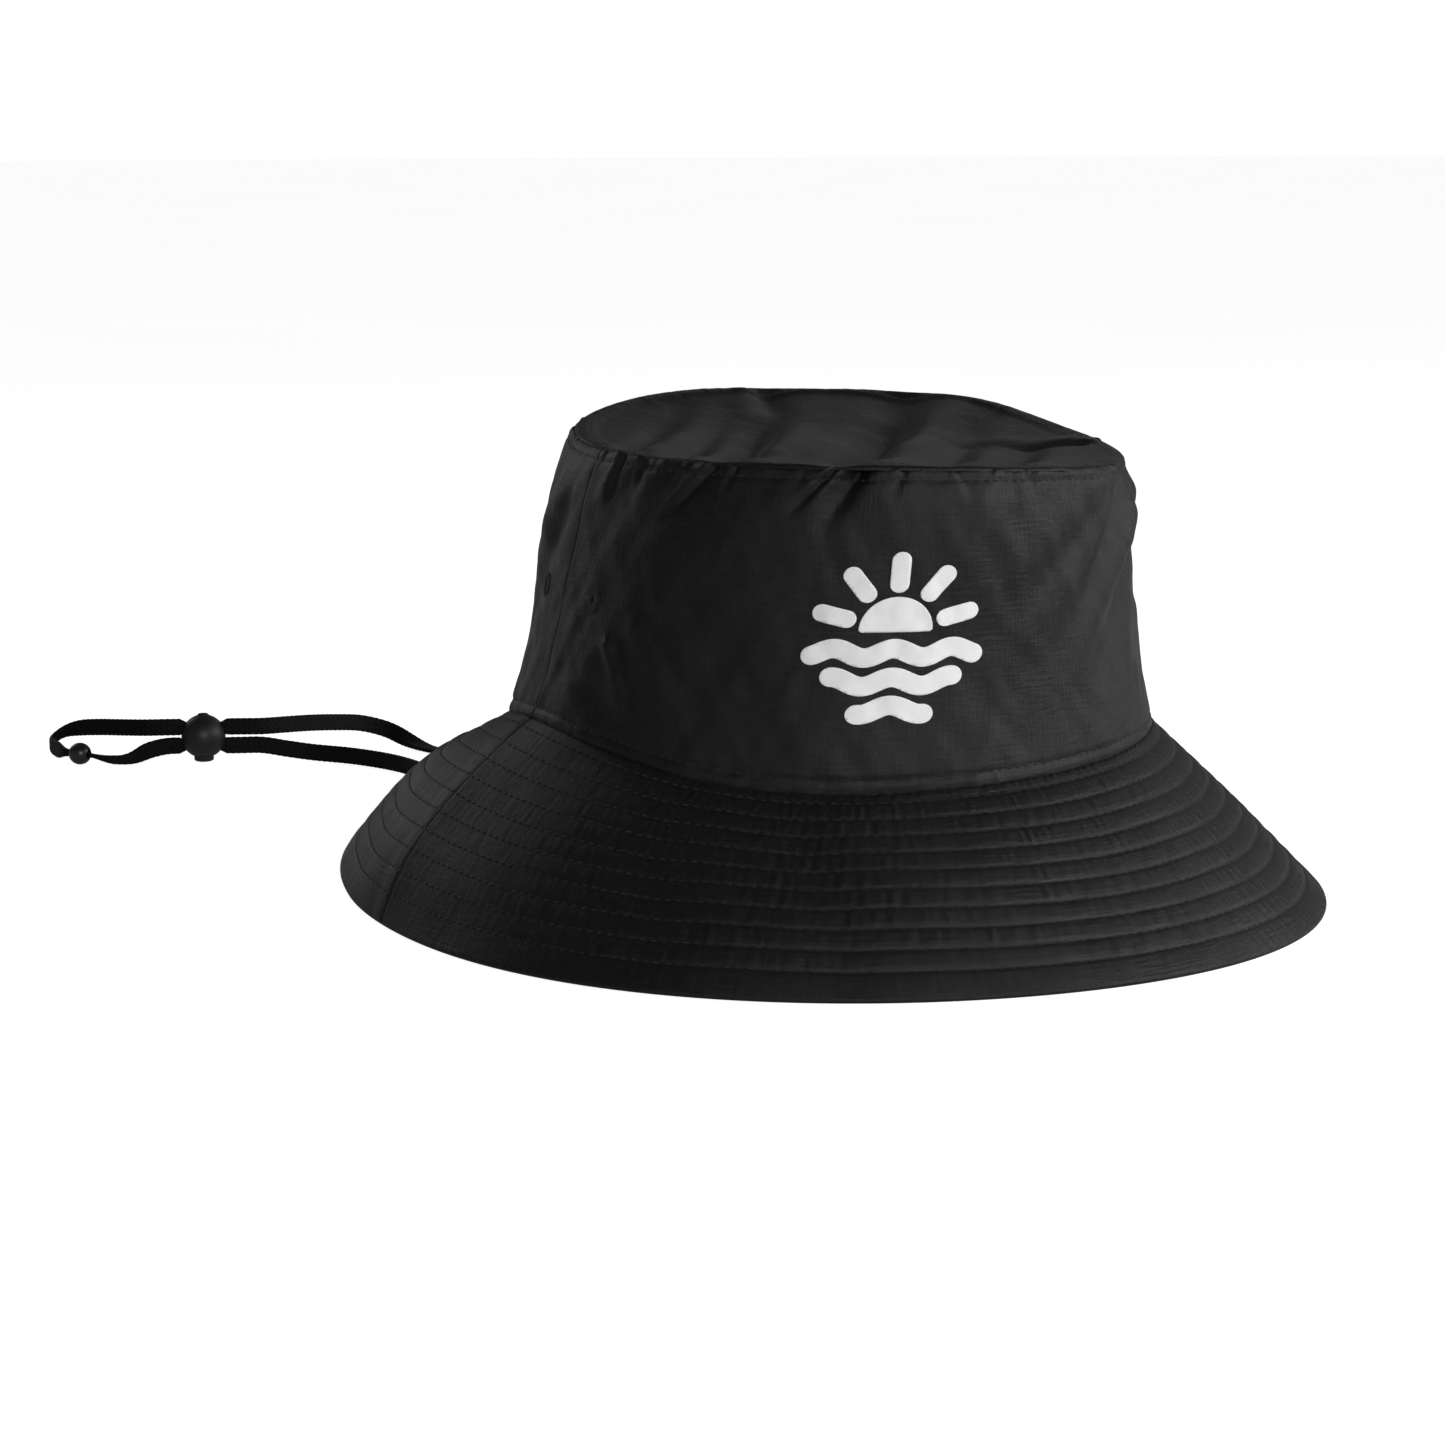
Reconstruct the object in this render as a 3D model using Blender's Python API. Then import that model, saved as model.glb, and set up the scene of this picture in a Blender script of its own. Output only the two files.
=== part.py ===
"""Wide-brim bucket hat with a chin cord, a spring cord lock and an end bead.

The hat is cut and sewn: an oval tip, a two-piece crown side, a two-piece quilted
brim over a stiff interlining, an inner sweatband and seam tapes.  It stands on a
table on the rim of its brim; the back of the rim lifts where the chin cord
comes out from under it and lies on the table.

Frame: metres, +Z up, the hat's front towards -Y, the wearer's left towards +X.
The origin is on the table under the middle of the hat.
"""
import math

import bmesh
import bpy
import numpy as np
from mathutils import Matrix, Vector

# ---------------------------------------------------------------- dimensions
# middle of the hat's outline, from the centre of the head oval
MIDDLE_X, MIDDLE_Y = 0.0039, 0.0013

# head seam: where the crown side meets the brim (an oval, slightly leaning)
HEAD_HALF_WIDTH = 0.0944
HEAD_HALF_LENGTH = 0.1010
HEAD_SEAM_Z = 0.0530
HEAD_LEAN_X = 0.0116          # rise of the seam per metre towards +X
HEAD_LEAN_Y = 0.0519          # rise of the seam per metre towards the back
HEAD_WAVE = (-0.0002, 0.0024, -0.0044, -0.0021, 0.0014, -0.0014)  # cos/sin of 2, 3, 4 turns

# tip seam: where the oval tip meets the crown side
TIP_X, TIP_Y, TIP_Z = 0.0042, -0.0014, 0.1368
TIP_HALF_WIDTH = 0.0754
TIP_HALF_LENGTH = 0.0934
TIP_SQUARENESS = 2.17         # 2 is a plain oval
TIP_LEAN_X = 0.0028
TIP_LEAN_Y = 0.0472
TIP_WAVE = (-0.0020, 0.0019)
TIP_SINK = 0.0045             # the unsupported tip sags in the middle
TIP_FLAT = 0.22               # share of the tip's radius that lies flat

# crown side profile between the two seams
CROWN_WAIST = -0.0025
CROWN_WAIST_X = -0.0011
CROWN_WAIST_Y = 0.0012
CROWN_SHOULDER = 0.0065       # the side rolls out just under the tip seam

# brim
BRIM_WIDTH = 0.0710
BRIM_WIDTH_WAVE = (0.0003, 0.0008, 0.0022, -0.0020)
BRIM_CROWN = 0.0036           # how far the brim arches between seam and rim
BRIM_CROWN_SIDE = 0.0038      # extra arch towards the back left
BRIM_CROWN_DIR = 160.0        # degrees
BACK_LIFT = 0.0126            # the rim lifts this far at the back
BACK_LIFT_START = 0.29        # sine of the angle where the lift starts

# cloth thicknesses and the gap left between neighbouring layers
GAP = 0.0003
CROWN_CLOTH = 0.0009
BRIM_CLOTH = 0.0008
SEGMENTS = 40                 # around the hat

SWEATBAND_HEIGHT = 0.028
TAPE_CLOTH = 0.0008

# sewn eyelets, two on each side, either side of the side seam
EYELET_ANGLE = 10.5           # degrees from the side seam
EYELET_HEIGHT = 0.525         # share of the crown side, from the tip seam down
EYELET_R = 0.0039
EYELET_HOLE_R = 0.0013
EYELET_BARREL_R = 0.0021

# chin cord and what is on it
CORD_R = 0.0012
LOCK_X, LOCK_Y, LOCK_Z = -0.1147, 0.2869, 0.0093
LOCK_YAW = -20.0              # degrees; the cord runs this way through the lock
LOCK_R = 0.0079
STRAND_OFFSET = 0.0034        # the two strands pass above and below the centre
PLUNGER_R = 0.0035
BEAD_X, BEAD_Y, BEAD_Z = -0.1576, 0.2990, 0.0041
BEAD_YAW = -48.7
BEAD_R = 0.0039
TAB_DEPTH = 0.0058            # centre of a cord tab, inside the head seam

for old in list(bpy.data.objects):
    bpy.data.objects.remove(old, do_unlink=True)


# ------------------------------------------------------------------ helpers
def material(name, colour, rough, metal=0.0):
    m = bpy.data.materials.new(name)
    m.use_nodes = True
    b = m.node_tree.nodes["Principled BSDF"]
    b.inputs["Base Color"].default_value = (*colour, 1.0)
    b.inputs["Roughness"].default_value = rough
    b.inputs["Metallic"].default_value = metal
    m.diffuse_color = (*colour, 1.0)
    return m


def add(name, bm, colour, rough, metal=0.0, smooth=35.0):
    bmesh.ops.remove_doubles(bm, verts=bm.verts, dist=1e-7)
    bmesh.ops.recalc_face_normals(bm, faces=bm.faces)
    if bm.calc_volume(signed=True) < 0:
        bmesh.ops.reverse_faces(bm, faces=bm.faces)
    me = bpy.data.meshes.new(name)
    bm.to_mesh(me)
    bm.free()
    ob = bpy.data.objects.new(name, me)
    bpy.context.collection.objects.link(ob)
    me.materials.append(material(name, colour, rough, metal))
    if smooth:
        me.shade_smooth()
        me.set_sharp_from_angle(angle=math.radians(smooth))
    return ob


def head_seam(a):
    c, s = math.cos(a), math.sin(a)
    w = HEAD_WAVE
    z = (HEAD_SEAM_Z + HEAD_LEAN_X * HEAD_HALF_WIDTH * c + HEAD_LEAN_Y * HEAD_HALF_LENGTH * s
         + w[0] * math.cos(2 * a) + w[1] * math.sin(2 * a) + w[2] * math.cos(3 * a)
         + w[3] * math.sin(3 * a) + w[4] * math.cos(4 * a) + w[5] * math.sin(4 * a))
    return Vector((HEAD_HALF_WIDTH * c, HEAD_HALF_LENGTH * s, z))


def head_out(a):
    """Level direction straight out of the head seam."""
    return Vector((math.cos(a) / HEAD_HALF_WIDTH, math.sin(a) / HEAD_HALF_LENGTH, 0)).normalized()


def tip_seam(a):
    c, s = math.cos(a), math.sin(a)
    k = (abs(c) ** TIP_SQUARENESS + abs(s) ** TIP_SQUARENESS) ** (-1 / TIP_SQUARENESS)
    z = (TIP_Z + TIP_LEAN_X * TIP_HALF_WIDTH * c + TIP_LEAN_Y * TIP_HALF_LENGTH * s
         + TIP_WAVE[0] * math.cos(2 * a) + TIP_WAVE[1] * math.sin(2 * a))
    return Vector((TIP_X + TIP_HALF_WIDTH * c * k, TIP_Y + TIP_HALF_LENGTH * s * k, z))


def rim_lift(a):
    x = (math.sin(a) - BACK_LIFT_START) / (1 - BACK_LIFT_START)
    return BACK_LIFT * max(0.0, x) ** 1.5


def brim_width(a):
    w = BRIM_WIDTH_WAVE
    return (BRIM_WIDTH + w[0] * math.cos(a) + w[1] * math.sin(a)
            + w[2] * math.cos(2 * a) + w[3] * math.sin(2 * a))


def brim_slope(a):
    """Angle of the brim below level, set so that its rim reaches the table."""
    return math.asin((head_seam(a).z - rim_lift(a) - 0.0006) / brim_width(a))


def crown_face(a, t):
    """Outer face of the crown side; t runs from the tip seam (0) to the head seam (1)."""
    p = tip_seam(a) * (1 - t) + head_seam(a) * t
    waist = CROWN_WAIST + CROWN_WAIST_X * math.cos(a) + CROWN_WAIST_Y * math.sin(a)
    bulge = waist * 4 * t * (1 - t) * (1.6 - 1.2 * t) + CROWN_SHOULDER * 6 * t * (1 - t) ** 3
    return p + head_out(a) * bulge


def brim_face(a, s):
    """Outer face of the brim; s runs from the head seam (0) to the rim (1)."""
    f = brim_slope(a)
    out = head_out(a)
    run = Vector((out.x * math.cos(f), out.y * math.cos(f), -math.sin(f)))
    rise = Vector((out.x * math.sin(f), out.y * math.sin(f), math.cos(f)))
    arch = BRIM_CROWN + BRIM_CROWN_SIDE * math.cos(a - math.radians(BRIM_CROWN_DIR))
    return head_seam(a) + run * (brim_width(a) * s) + rise * (arch * 4 * s * (1 - s))


def inside(face, a, u, depth):
    """The point of a face pushed inwards by a cloth depth."""
    h = 1e-3
    du = face(a, u + h) - face(a, u - h)
    da = face(a + h, u) - face(a - h, u)
    n = du.cross(da).normalized()
    if n.dot(head_out(a)) + n.z * 0.2 < 0:
        n = -n
    return face(a, u) - n * depth


def grid_body(outer, inner, closed):
    """A closed body between two grids of points with the same layout."""
    bm = bmesh.new()
    rows, cols = len(outer), len(outer[0])
    vo = [[bm.verts.new(p) for p in row] for row in outer]
    vi = [[bm.verts.new(p) for p in row] for row in inner]
    last = cols if closed else cols - 1
    for i in range(rows - 1):
        for j in range(last):
            k = (j + 1) % cols
            bm.faces.new((vo[i][j], vo[i + 1][j], vo[i + 1][k], vo[i][k]))
            bm.faces.new((vi[i][j], vi[i][k], vi[i + 1][k], vi[i + 1][j]))
    for j in range(last):
        k = (j + 1) % cols
        bm.faces.new((vo[0][j], vo[0][k], vi[0][k], vi[0][j]))
        bm.faces.new((vo[-1][j], vi[-1][j], vi[-1][k], vo[-1][k]))
    if not closed:
        for i in range(rows - 1):
            bm.faces.new((vo[i][0], vi[i][0], vi[i + 1][0], vo[i + 1][0]))
            bm.faces.new((vo[i][-1], vo[i + 1][-1], vi[i + 1][-1], vi[i][-1]))
    return bm


def arc(start, end, count, trim=0.0):
    """Angles in radians from start to end degrees, with both ends trimmed."""
    out = [math.radians(start + (end - start) * i / count) for i in range(count + 1)]
    out[0] += trim
    out[-1] -= trim
    return out


def ring():
    return [2 * math.pi * i / SEGMENTS for i in range(SEGMENTS)]


def lathe(profile, steps, close_top=True, close_bottom=True):
    """A body turned about +Z from (radius, height) pairs, bottom to top on the outside."""
    bm = bmesh.new()
    rings = []
    for r, z in profile:
        if r < 1e-9:
            rings.append([bm.verts.new((0, 0, z))])
        else:
            rings.append([bm.verts.new((r * math.cos(2 * math.pi * i / steps),
                                        r * math.sin(2 * math.pi * i / steps), z))
                          for i in range(steps)])
    pairs = list(zip(rings, rings[1:]))
    if len(rings[0]) > 1 and len(rings[-1]) > 1:
        pairs.append((rings[-1], rings[0]))
    for lo, hi in pairs:
        for i in range(steps):
            k = (i + 1) % steps
            if len(lo) == 1:
                bm.faces.new((lo[0], hi[k], hi[i]))
            elif len(hi) == 1:
                bm.faces.new((lo[i], lo[k], hi[0]))
            else:
                bm.faces.new((lo[i], lo[k], hi[k], hi[i]))
    return bm


def cut(target, cutter_bm, name):
    bmesh.ops.recalc_face_normals(cutter_bm, faces=cutter_bm.faces)
    me = bpy.data.meshes.new(name)
    cutter_bm.to_mesh(me)
    cutter_bm.free()
    ob = bpy.data.objects.new(name, me)
    bpy.context.collection.objects.link(ob)
    ob.hide_render = True
    ob.display_type = "WIRE"
    mod = target.modifiers.new(name, "BOOLEAN")
    mod.operation = "DIFFERENCE"
    mod.object = ob
    return ob


# ------------------------------------------------------------------ crown
BLACK_NYLON = (0.022, 0.022, 0.024)
BLACK_TAPE = (0.015, 0.015, 0.016)
half_trim = 0.5 * GAP / HEAD_HALF_WIDTH

CROWN_TOP = 0.0145            # the side starts this share below the tip
CROWN_END = 0.993
crown_rows = [CROWN_TOP, 0.06, 0.13, 0.22, 0.36, 0.52, 0.68, 0.84, CROWN_END]
for name, a0, a1 in (("crown_side_front", 180, 360), ("crown_side_back", 0, 180)):
    angles = arc(a0, a1, SEGMENTS // 2, half_trim)
    outer = [[crown_face(a, t) for a in angles] for t in crown_rows]
    inner = [[inside(crown_face, a, t, CROWN_CLOTH) for a in angles] for t in crown_rows]
    # the top edge is cut level, so that the tip rests evenly over it
    for j in range(len(angles)):
        inner[0][j].z = outer[0][j].z
    add(name, grid_body(outer, inner, False), BLACK_NYLON, 0.62)


def tip_point(a, r, drop):
    """A point of the tip: flat in the middle, rising to the tip seam."""
    edge = tip_seam(a)
    x = TIP_X + (edge.x - TIP_X) * r
    y = TIP_Y + (edge.y - TIP_Y) * r
    g = max(0.0, (r - TIP_FLAT) / (1 - TIP_FLAT)) ** 1.3
    low = TIP_Z - TIP_SINK
    return Vector((x, y, low + (edge.z - low) * g - drop))


bm = bmesh.new()
radii = [1.0, 0.94, 0.84, 0.70, 0.54, 0.38, TIP_FLAT]
tops = [[bm.verts.new(tip_point(a, r, 0)) for a in ring()] for r in radii]
unders = [[bm.verts.new(tip_point(a, r, CROWN_CLOTH)) for a in ring()] for r in radii]
for rows, flip in ((tops, False), (unders, True)):
    for lo, hi in zip(rows, rows[1:]):
        for j in range(SEGMENTS):
            k = (j + 1) % SEGMENTS
            f = (lo[j], lo[k], hi[k], hi[j])
            bm.faces.new(f[::-1] if flip else f)
    bm.faces.new(rows[-1][::-1] if flip else rows[-1])
for j in range(SEGMENTS):
    k = (j + 1) % SEGMENTS
    bm.faces.new((unders[0][j], unders[0][k], tops[0][k], tops[0][j]))
add("crown_tip", bm, BLACK_NYLON, 0.62)

# ------------------------------------------------------------------ brim
BRIM_ROWS = [0.003, 0.14, 0.31, 0.48, 0.65, 0.80, 0.90, 1.0]


def rim_share(a, depth):
    """How far out a lower layer runs, so that it ends just above the table."""
    f = brim_slope(a)
    return 1.0 - (depth * math.cos(f) + 0.0006) / (brim_width(a) * math.sin(f))


def brim_layer(angles, depth, cloth, closed):
    outer, inner = [], []
    for s in BRIM_ROWS:
        ro, ri = [], []
        for a in angles:
            u = s if depth == 0 else min(s, rim_share(a, depth + cloth))
            ro.append(inside(brim_face, a, u, depth))
            ri.append(inside(brim_face, a, u, depth + cloth))
        outer.append(ro)
        inner.append(ri)
    if depth == 0:
        for p, a in zip(inner[-1], angles):
            p.z = rim_lift(a)
    return grid_body(outer, inner, closed)


FRONT = arc(180, 360, SEGMENTS // 2, half_trim)
BACK = arc(0, 180, SEGMENTS // 2, half_trim)
add("brim_top_front", brim_layer(FRONT, 0.0, BRIM_CLOTH, False), BLACK_NYLON, 0.62)
add("brim_top_back", brim_layer(BACK, 0.0, BRIM_CLOTH, False), BLACK_NYLON, 0.62)
step = BRIM_CLOTH + GAP
add("brim_interlining", brim_layer(ring(), step, BRIM_CLOTH, True), (0.55, 0.55, 0.52), 0.9)
add("brim_under_front", brim_layer(FRONT, 2 * step, BRIM_CLOTH, False), (0.02, 0.02, 0.021), 0.7)
add("brim_under_back", brim_layer(BACK, 2 * step, BRIM_CLOTH, False), (0.02, 0.02, 0.021), 0.7)

# ------------------------------------------------------------------ linings
def crown_share(height, a=0.0):
    """Share of the crown side that lies a given height above the head seam."""
    return 1.0 - height / (tip_seam(a) - head_seam(a)).length


def crown_layer(angles, t0, t1, depth, cloth, closed, rows=4):
    ts = [t0 + (t1 - t0) * i / rows for i in range(rows + 1)]
    outer = [[inside(crown_face, a, t, depth) for a in angles] for t in ts]
    inner = [[inside(crown_face, a, t, depth + cloth) for a in angles] for t in ts]
    return grid_body(outer, inner, closed)


band_depth = CROWN_CLOTH + GAP + 0.00005
BAND_CLOTH = 0.0011
band_top = crown_share(SWEATBAND_HEIGHT)
add("sweatband", crown_layer(ring(), band_top, CROWN_END, band_depth, BAND_CLOTH, True),
    (0.018, 0.018, 0.02), 0.85)
add("tip_seam_tape", crown_layer(ring(), 0.045, 0.125, band_depth, TAPE_CLOTH, True, rows=2),
    BLACK_TAPE, 0.8)
for side, mid in (("left", 0), ("right", 180)):
    add("side_seam_tape_" + side,
        crown_layer(arc(mid - 3.6, mid + 3.6, 2), 0.14, band_top - 0.01, 0.0014, 0.0007, False, rows=6),
        BLACK_TAPE, 0.8)

add("size_label", crown_layer(arc(82, 98, 4), band_top + 0.02, band_top + 0.19, 0.00295, 0.0005, False, rows=2),
    (0.75, 0.75, 0.73), 0.7)

# cord tabs: short folded tapes sewn to the foot of the sweatband at each side
TAB_W, TAB_T, TAB_H, TAB_DROP = 0.0090, 0.0016, 0.0120, 0.0060


def tab_foot(side):
    seam = head_seam(0.0 if side > 0 else math.pi)
    return Vector((seam.x - side * TAB_DEPTH, 0.0, seam.z - TAB_DROP))


for name, side in (("cord_tab_left", 1), ("cord_tab_right", -1)):
    foot = tab_foot(side)
    bm = bmesh.new()
    bmesh.ops.create_cube(bm, size=1.0)
    bmesh.ops.scale(bm, vec=(TAB_T, TAB_W, TAB_H), verts=bm.verts)
    ob = add(name, bm, BLACK_TAPE, 0.8, smooth=None)
    ob.location = (foot.x, foot.y, foot.z + TAB_H / 2)
    bev = ob.modifiers.new("soft_edges", "BEVEL")
    bev.width = 0.0004
    bev.segments = 1

# ------------------------------------------------------------------ eyelets
def eyelet_frame(angle):
    a = math.radians(angle)
    p = crown_face(a, EYELET_HEIGHT)
    n = (p - inside(crown_face, a, EYELET_HEIGHT, 0.001)).normalized()
    z = n
    x = Vector((0, 0, 1)).cross(z).normalized()
    y = z.cross(x)
    m = Matrix((x, y, z)).transposed().to_4x4()
    m.translation = p
    return m


eyelets = (("eyelet_left_back", EYELET_ANGLE), ("eyelet_left_front", 360 - EYELET_ANGLE),
           ("eyelet_right_back", 180 - EYELET_ANGLE), ("eyelet_right_front", 180 + EYELET_ANGLE))
for name, angle in eyelets:
    low, lip, top = -0.0016, 0.00032, 0.00100
    profile = [(EYELET_HOLE_R + 0.0003, low), (EYELET_BARREL_R, low), (EYELET_BARREL_R, lip),
               (EYELET_R - 0.0002, lip), (EYELET_R, lip + 0.0002), (EYELET_R - 0.0005, top - 0.0001),
               (EYELET_HOLE_R + 0.0011, top), (EYELET_HOLE_R + 0.0003, top - 0.0002),
               (EYELET_HOLE_R, lip - 0.0004)]
    ob = add(name, lathe(profile, 16), (0.016, 0.016, 0.017), 0.75)
    ob.matrix_world = eyelet_frame(angle)
    bmc = lathe([(0, -0.004), (EYELET_BARREL_R + GAP, -0.004), (EYELET_BARREL_R + GAP, 0.004), (0, 0.004)], 18)
    host = bpy.data.objects["crown_side_front" if name.endswith("front") else "crown_side_back"]
    hole = cut(host, bmc, name + "_cutter")
    hole.matrix_world = eyelet_frame(angle)

# ------------------------------------------------------------------ cord lock
lock_dir = Vector((math.cos(math.radians(LOCK_YAW)), math.sin(math.radians(LOCK_YAW)), 0))
lock_place = Matrix.Translation((LOCK_X, LOCK_Y, LOCK_Z)) @ Matrix.Rotation(math.radians(LOCK_YAW), 4, "Z")
BORE_R = PLUNGER_R + GAP
outer = []
for i in range(13):
    a = math.radians(-57 + (74 + 57) * i / 12)
    outer.append((LOCK_R * math.cos(a), LOCK_R * math.sin(a)))
outer += [(0.0019, 0.0079), (0.0016, 0.00825), (0.0, 0.00825)]
bore = [(0.0, 0.0073), (0.0019, 0.0073), (0.0019, 0.00695), (BORE_R, 0.0057), (BORE_R, outer[0][1])]
lock = add("cord_lock_body", lathe(bore + outer, 28), (0.024, 0.024, 0.025), 0.45)
lock.matrix_world = lock_place


def passage(z, steps=16):
    """A straight hole with flared mouths, along local X at height z."""
    bm = bmesh.new()
    rows = []
    for x, hh, hw in ((-0.0095, 0.0028, 0.0019), (-0.0042, 0.0016, 0.0015),
                      (0.0042, 0.0016, 0.0015), (0.0095, 0.0028, 0.0019)):
        rows.append([bm.verts.new((x, hw * math.cos(2 * math.pi * i / steps),
                                   z + hh * math.sin(2 * math.pi * i / steps)))
                     for i in range(steps)])
    for lo, hi in zip(rows, rows[1:]):
        for i in range(steps):
            k = (i + 1) % steps
            bm.faces.new((lo[i], lo[k], hi[k], hi[i]))
    bm.faces.new(rows[0][::-1])
    bm.faces.new(rows[-1])
    return bm


for tag, z in (("upper", STRAND_OFFSET), ("lower", -STRAND_OFFSET)):
    hole = cut(lock, passage(z), "lock_" + tag + "_passage")
    hole.matrix_world = lock_place

# plunger: a button with a slot for each strand, pushed up to free the cord
plunger = add("cord_lock_plunger", lathe(
    [(0, -0.0090), (PLUNGER_R - 0.0007, -0.0090), (PLUNGER_R, -0.0083), (PLUNGER_R, 0.0046),
     (0.0015, 0.0057), (0, 0.0057)], 24), (0.022, 0.022, 0.023), 0.45)
plunger.matrix_world = lock_place
for tag, z0, z1 in (("upper", 0.0009, 0.0049), ("lower", -0.0059, -0.0019)):
    bm = bmesh.new()
    bmesh.ops.create_cube(bm, size=1.0)
    bmesh.ops.scale(bm, vec=(0.012, 0.0030, z1 - z0), verts=bm.verts)
    bmesh.ops.translate(bm, vec=(0, 0, (z0 + z1) / 2), verts=bm.verts)
    slot = cut(plunger, bm, "plunger_" + tag + "_slot")
    slot.matrix_world = lock_place

# spring: a short coil between the plunger and the roof of the bore
SPRING_R, SPRING_WIRE, SPRING_TURNS = 0.0011, 0.00013, 1.75
bm = bmesh.new()
loops = []
count = 30
for i in range(count + 1):
    u = i / count
    a = 2 * math.pi * SPRING_TURNS * u
    c = Vector((SPRING_R * math.cos(a), SPRING_R * math.sin(a), 0.00615 + 0.0007 * u))
    out = Vector((math.cos(a), math.sin(a), 0))
    loops.append([bm.verts.new(c + out * SPRING_WIRE * math.cos(k * math.pi / 3)
                               + Vector((0, 0, 1)) * SPRING_WIRE * math.sin(k * math.pi / 3))
                  for k in range(6)])
for lo, hi in zip(loops, loops[1:]):
    for k in range(6):
        m = (k + 1) % 6
        bm.faces.new((lo[k], lo[m], hi[m], hi[k]))
bm.faces.new(loops[0][::-1])
bm.faces.new(loops[-1])
spring = add("cord_lock_spring", bm, (0.6, 0.6, 0.6), 0.35, 1.0)
spring.matrix_world = lock_place

# bead: a turned ball with a bore, threaded on the loop's near strand
bead_profile = []
BEAD_BORE_R = CORD_R + GAP
for i in range(11):
    a = math.radians(-67 + 134 * i / 10)
    bead_profile.append((BEAD_R * math.cos(a), BEAD_R * 1.04 * math.sin(a)))
end = bead_profile[-1][1]
bead_profile = [(BEAD_BORE_R, -end)] + bead_profile + [(BEAD_BORE_R, end)]
bead = add("cord_bead", lathe(bead_profile, 22), (0.02, 0.02, 0.021), 0.35)
bead.matrix_world = (Matrix.Translation((BEAD_X, BEAD_Y, BEAD_Z))
                     @ Matrix.Rotation(math.radians(BEAD_YAW), 4, "Z")
                     @ Matrix.Rotation(math.radians(90), 4, "Y"))

# ------------------------------------------------------------------ chin cord
def at_lock(mm, up):
    """A point on the straight stretch through the lock."""
    p = Vector((LOCK_X, LOCK_Y, LOCK_Z + up)) + lock_dir * (mm * 0.001)
    return tuple(p)


def at_bead(mm):
    d = Vector((math.cos(math.radians(BEAD_YAW)), math.sin(math.radians(BEAD_YAW)), 0))
    return tuple(Vector((BEAD_X, BEAD_Y, BEAD_Z)) + d * (mm * 0.001))


LEFT_FOOT, RIGHT_FOOT = tab_foot(1), tab_foot(-1)
UP, DOWN = STRAND_OFFSET, -STRAND_OFFSET
ROUTE = [
    # from the tab at the wearer's left, down to the table and back under the rim
    (LEFT_FOOT.x, 0.0, LEFT_FOOT.z - GAP), (LEFT_FOOT.x, 0.0, LEFT_FOOT.z - 0.006),
    (0.0882, 0.002, 0.029), (0.0865, 0.007, 0.018), (0.0820, 0.016, 0.0085), (0.0720, 0.029, 0.0040),
    (0.0570, 0.045, 0.0031), (0.0370, 0.066, 0.0031), (0.0160, 0.090, 0.0031), (-0.0040, 0.116, 0.0031),
    (-0.0200, 0.145, 0.0031), (-0.0290, 0.176, 0.0031), (-0.0330, 0.207, 0.0031), (-0.0340, 0.235, 0.0030),
    # over to the lock, rising to its upper passage
    (-0.0335, 0.258, 0.0030), (-0.0340, 0.274, 0.0036), (-0.0370, 0.2865, 0.0050), (-0.0440, 0.2938, 0.0068),
    (-0.0530, 0.2950, 0.0086), (-0.0640, 0.2915, 0.0102), (-0.0750, 0.2865, 0.0115), (-0.0860, 0.2815, 0.0124),
    at_lock(21, UP), at_lock(14, UP), at_lock(7, UP), at_lock(0, UP), at_lock(-6.5, UP), at_lock(-13, UP),
    # the open loop beyond the lock
    (-0.1330, 0.2950, 0.0124), (-0.1395, 0.3030, 0.0117), (-0.1460, 0.3135, 0.0107), (-0.1520, 0.3230, 0.0094),
    (-0.1575, 0.3280, 0.0076), (-0.1620, 0.3270, 0.0056), (-0.1650, 0.3205, 0.0043), (-0.1650, 0.3120, 0.0040),
    at_bead(-6), at_bead(0), at_bead(6),
    (-0.1480, 0.2912, 0.0036), (-0.1405, 0.2905, 0.0034), (-0.1335, 0.2928, 0.0046),
    at_lock(-13, DOWN), at_lock(-6.5, DOWN), at_lock(0, DOWN), at_lock(7, DOWN), at_lock(14, DOWN), at_lock(21, DOWN),
    # back down to the table and under the rim to the tab at the wearer's right
    (-0.0880, 0.2765, 0.0047), (-0.0795, 0.2720, 0.0036), (-0.0710, 0.2640, 0.0031), (-0.0640, 0.2530, 0.0031),
    (-0.0585, 0.2400, 0.0031), (-0.0555, 0.2260, 0.0031), (-0.0540, 0.2030, 0.0031), (-0.0545, 0.1760, 0.0031),
    (-0.0560, 0.1460, 0.0031), (-0.0590, 0.1160, 0.0031), (-0.0650, 0.0860, 0.0031), (-0.0720, 0.0580, 0.0031),
    (-0.0790, 0.0360, 0.0040), (-0.0850, 0.0190, 0.0090), (-0.0875, 0.0085, 0.0190), (-0.0885, 0.0025, 0.0340),
    (RIGHT_FOOT.x, 0.0, RIGHT_FOOT.z - 0.006), (RIGHT_FOOT.x, 0.0, RIGHT_FOOT.z - GAP),
]


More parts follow.
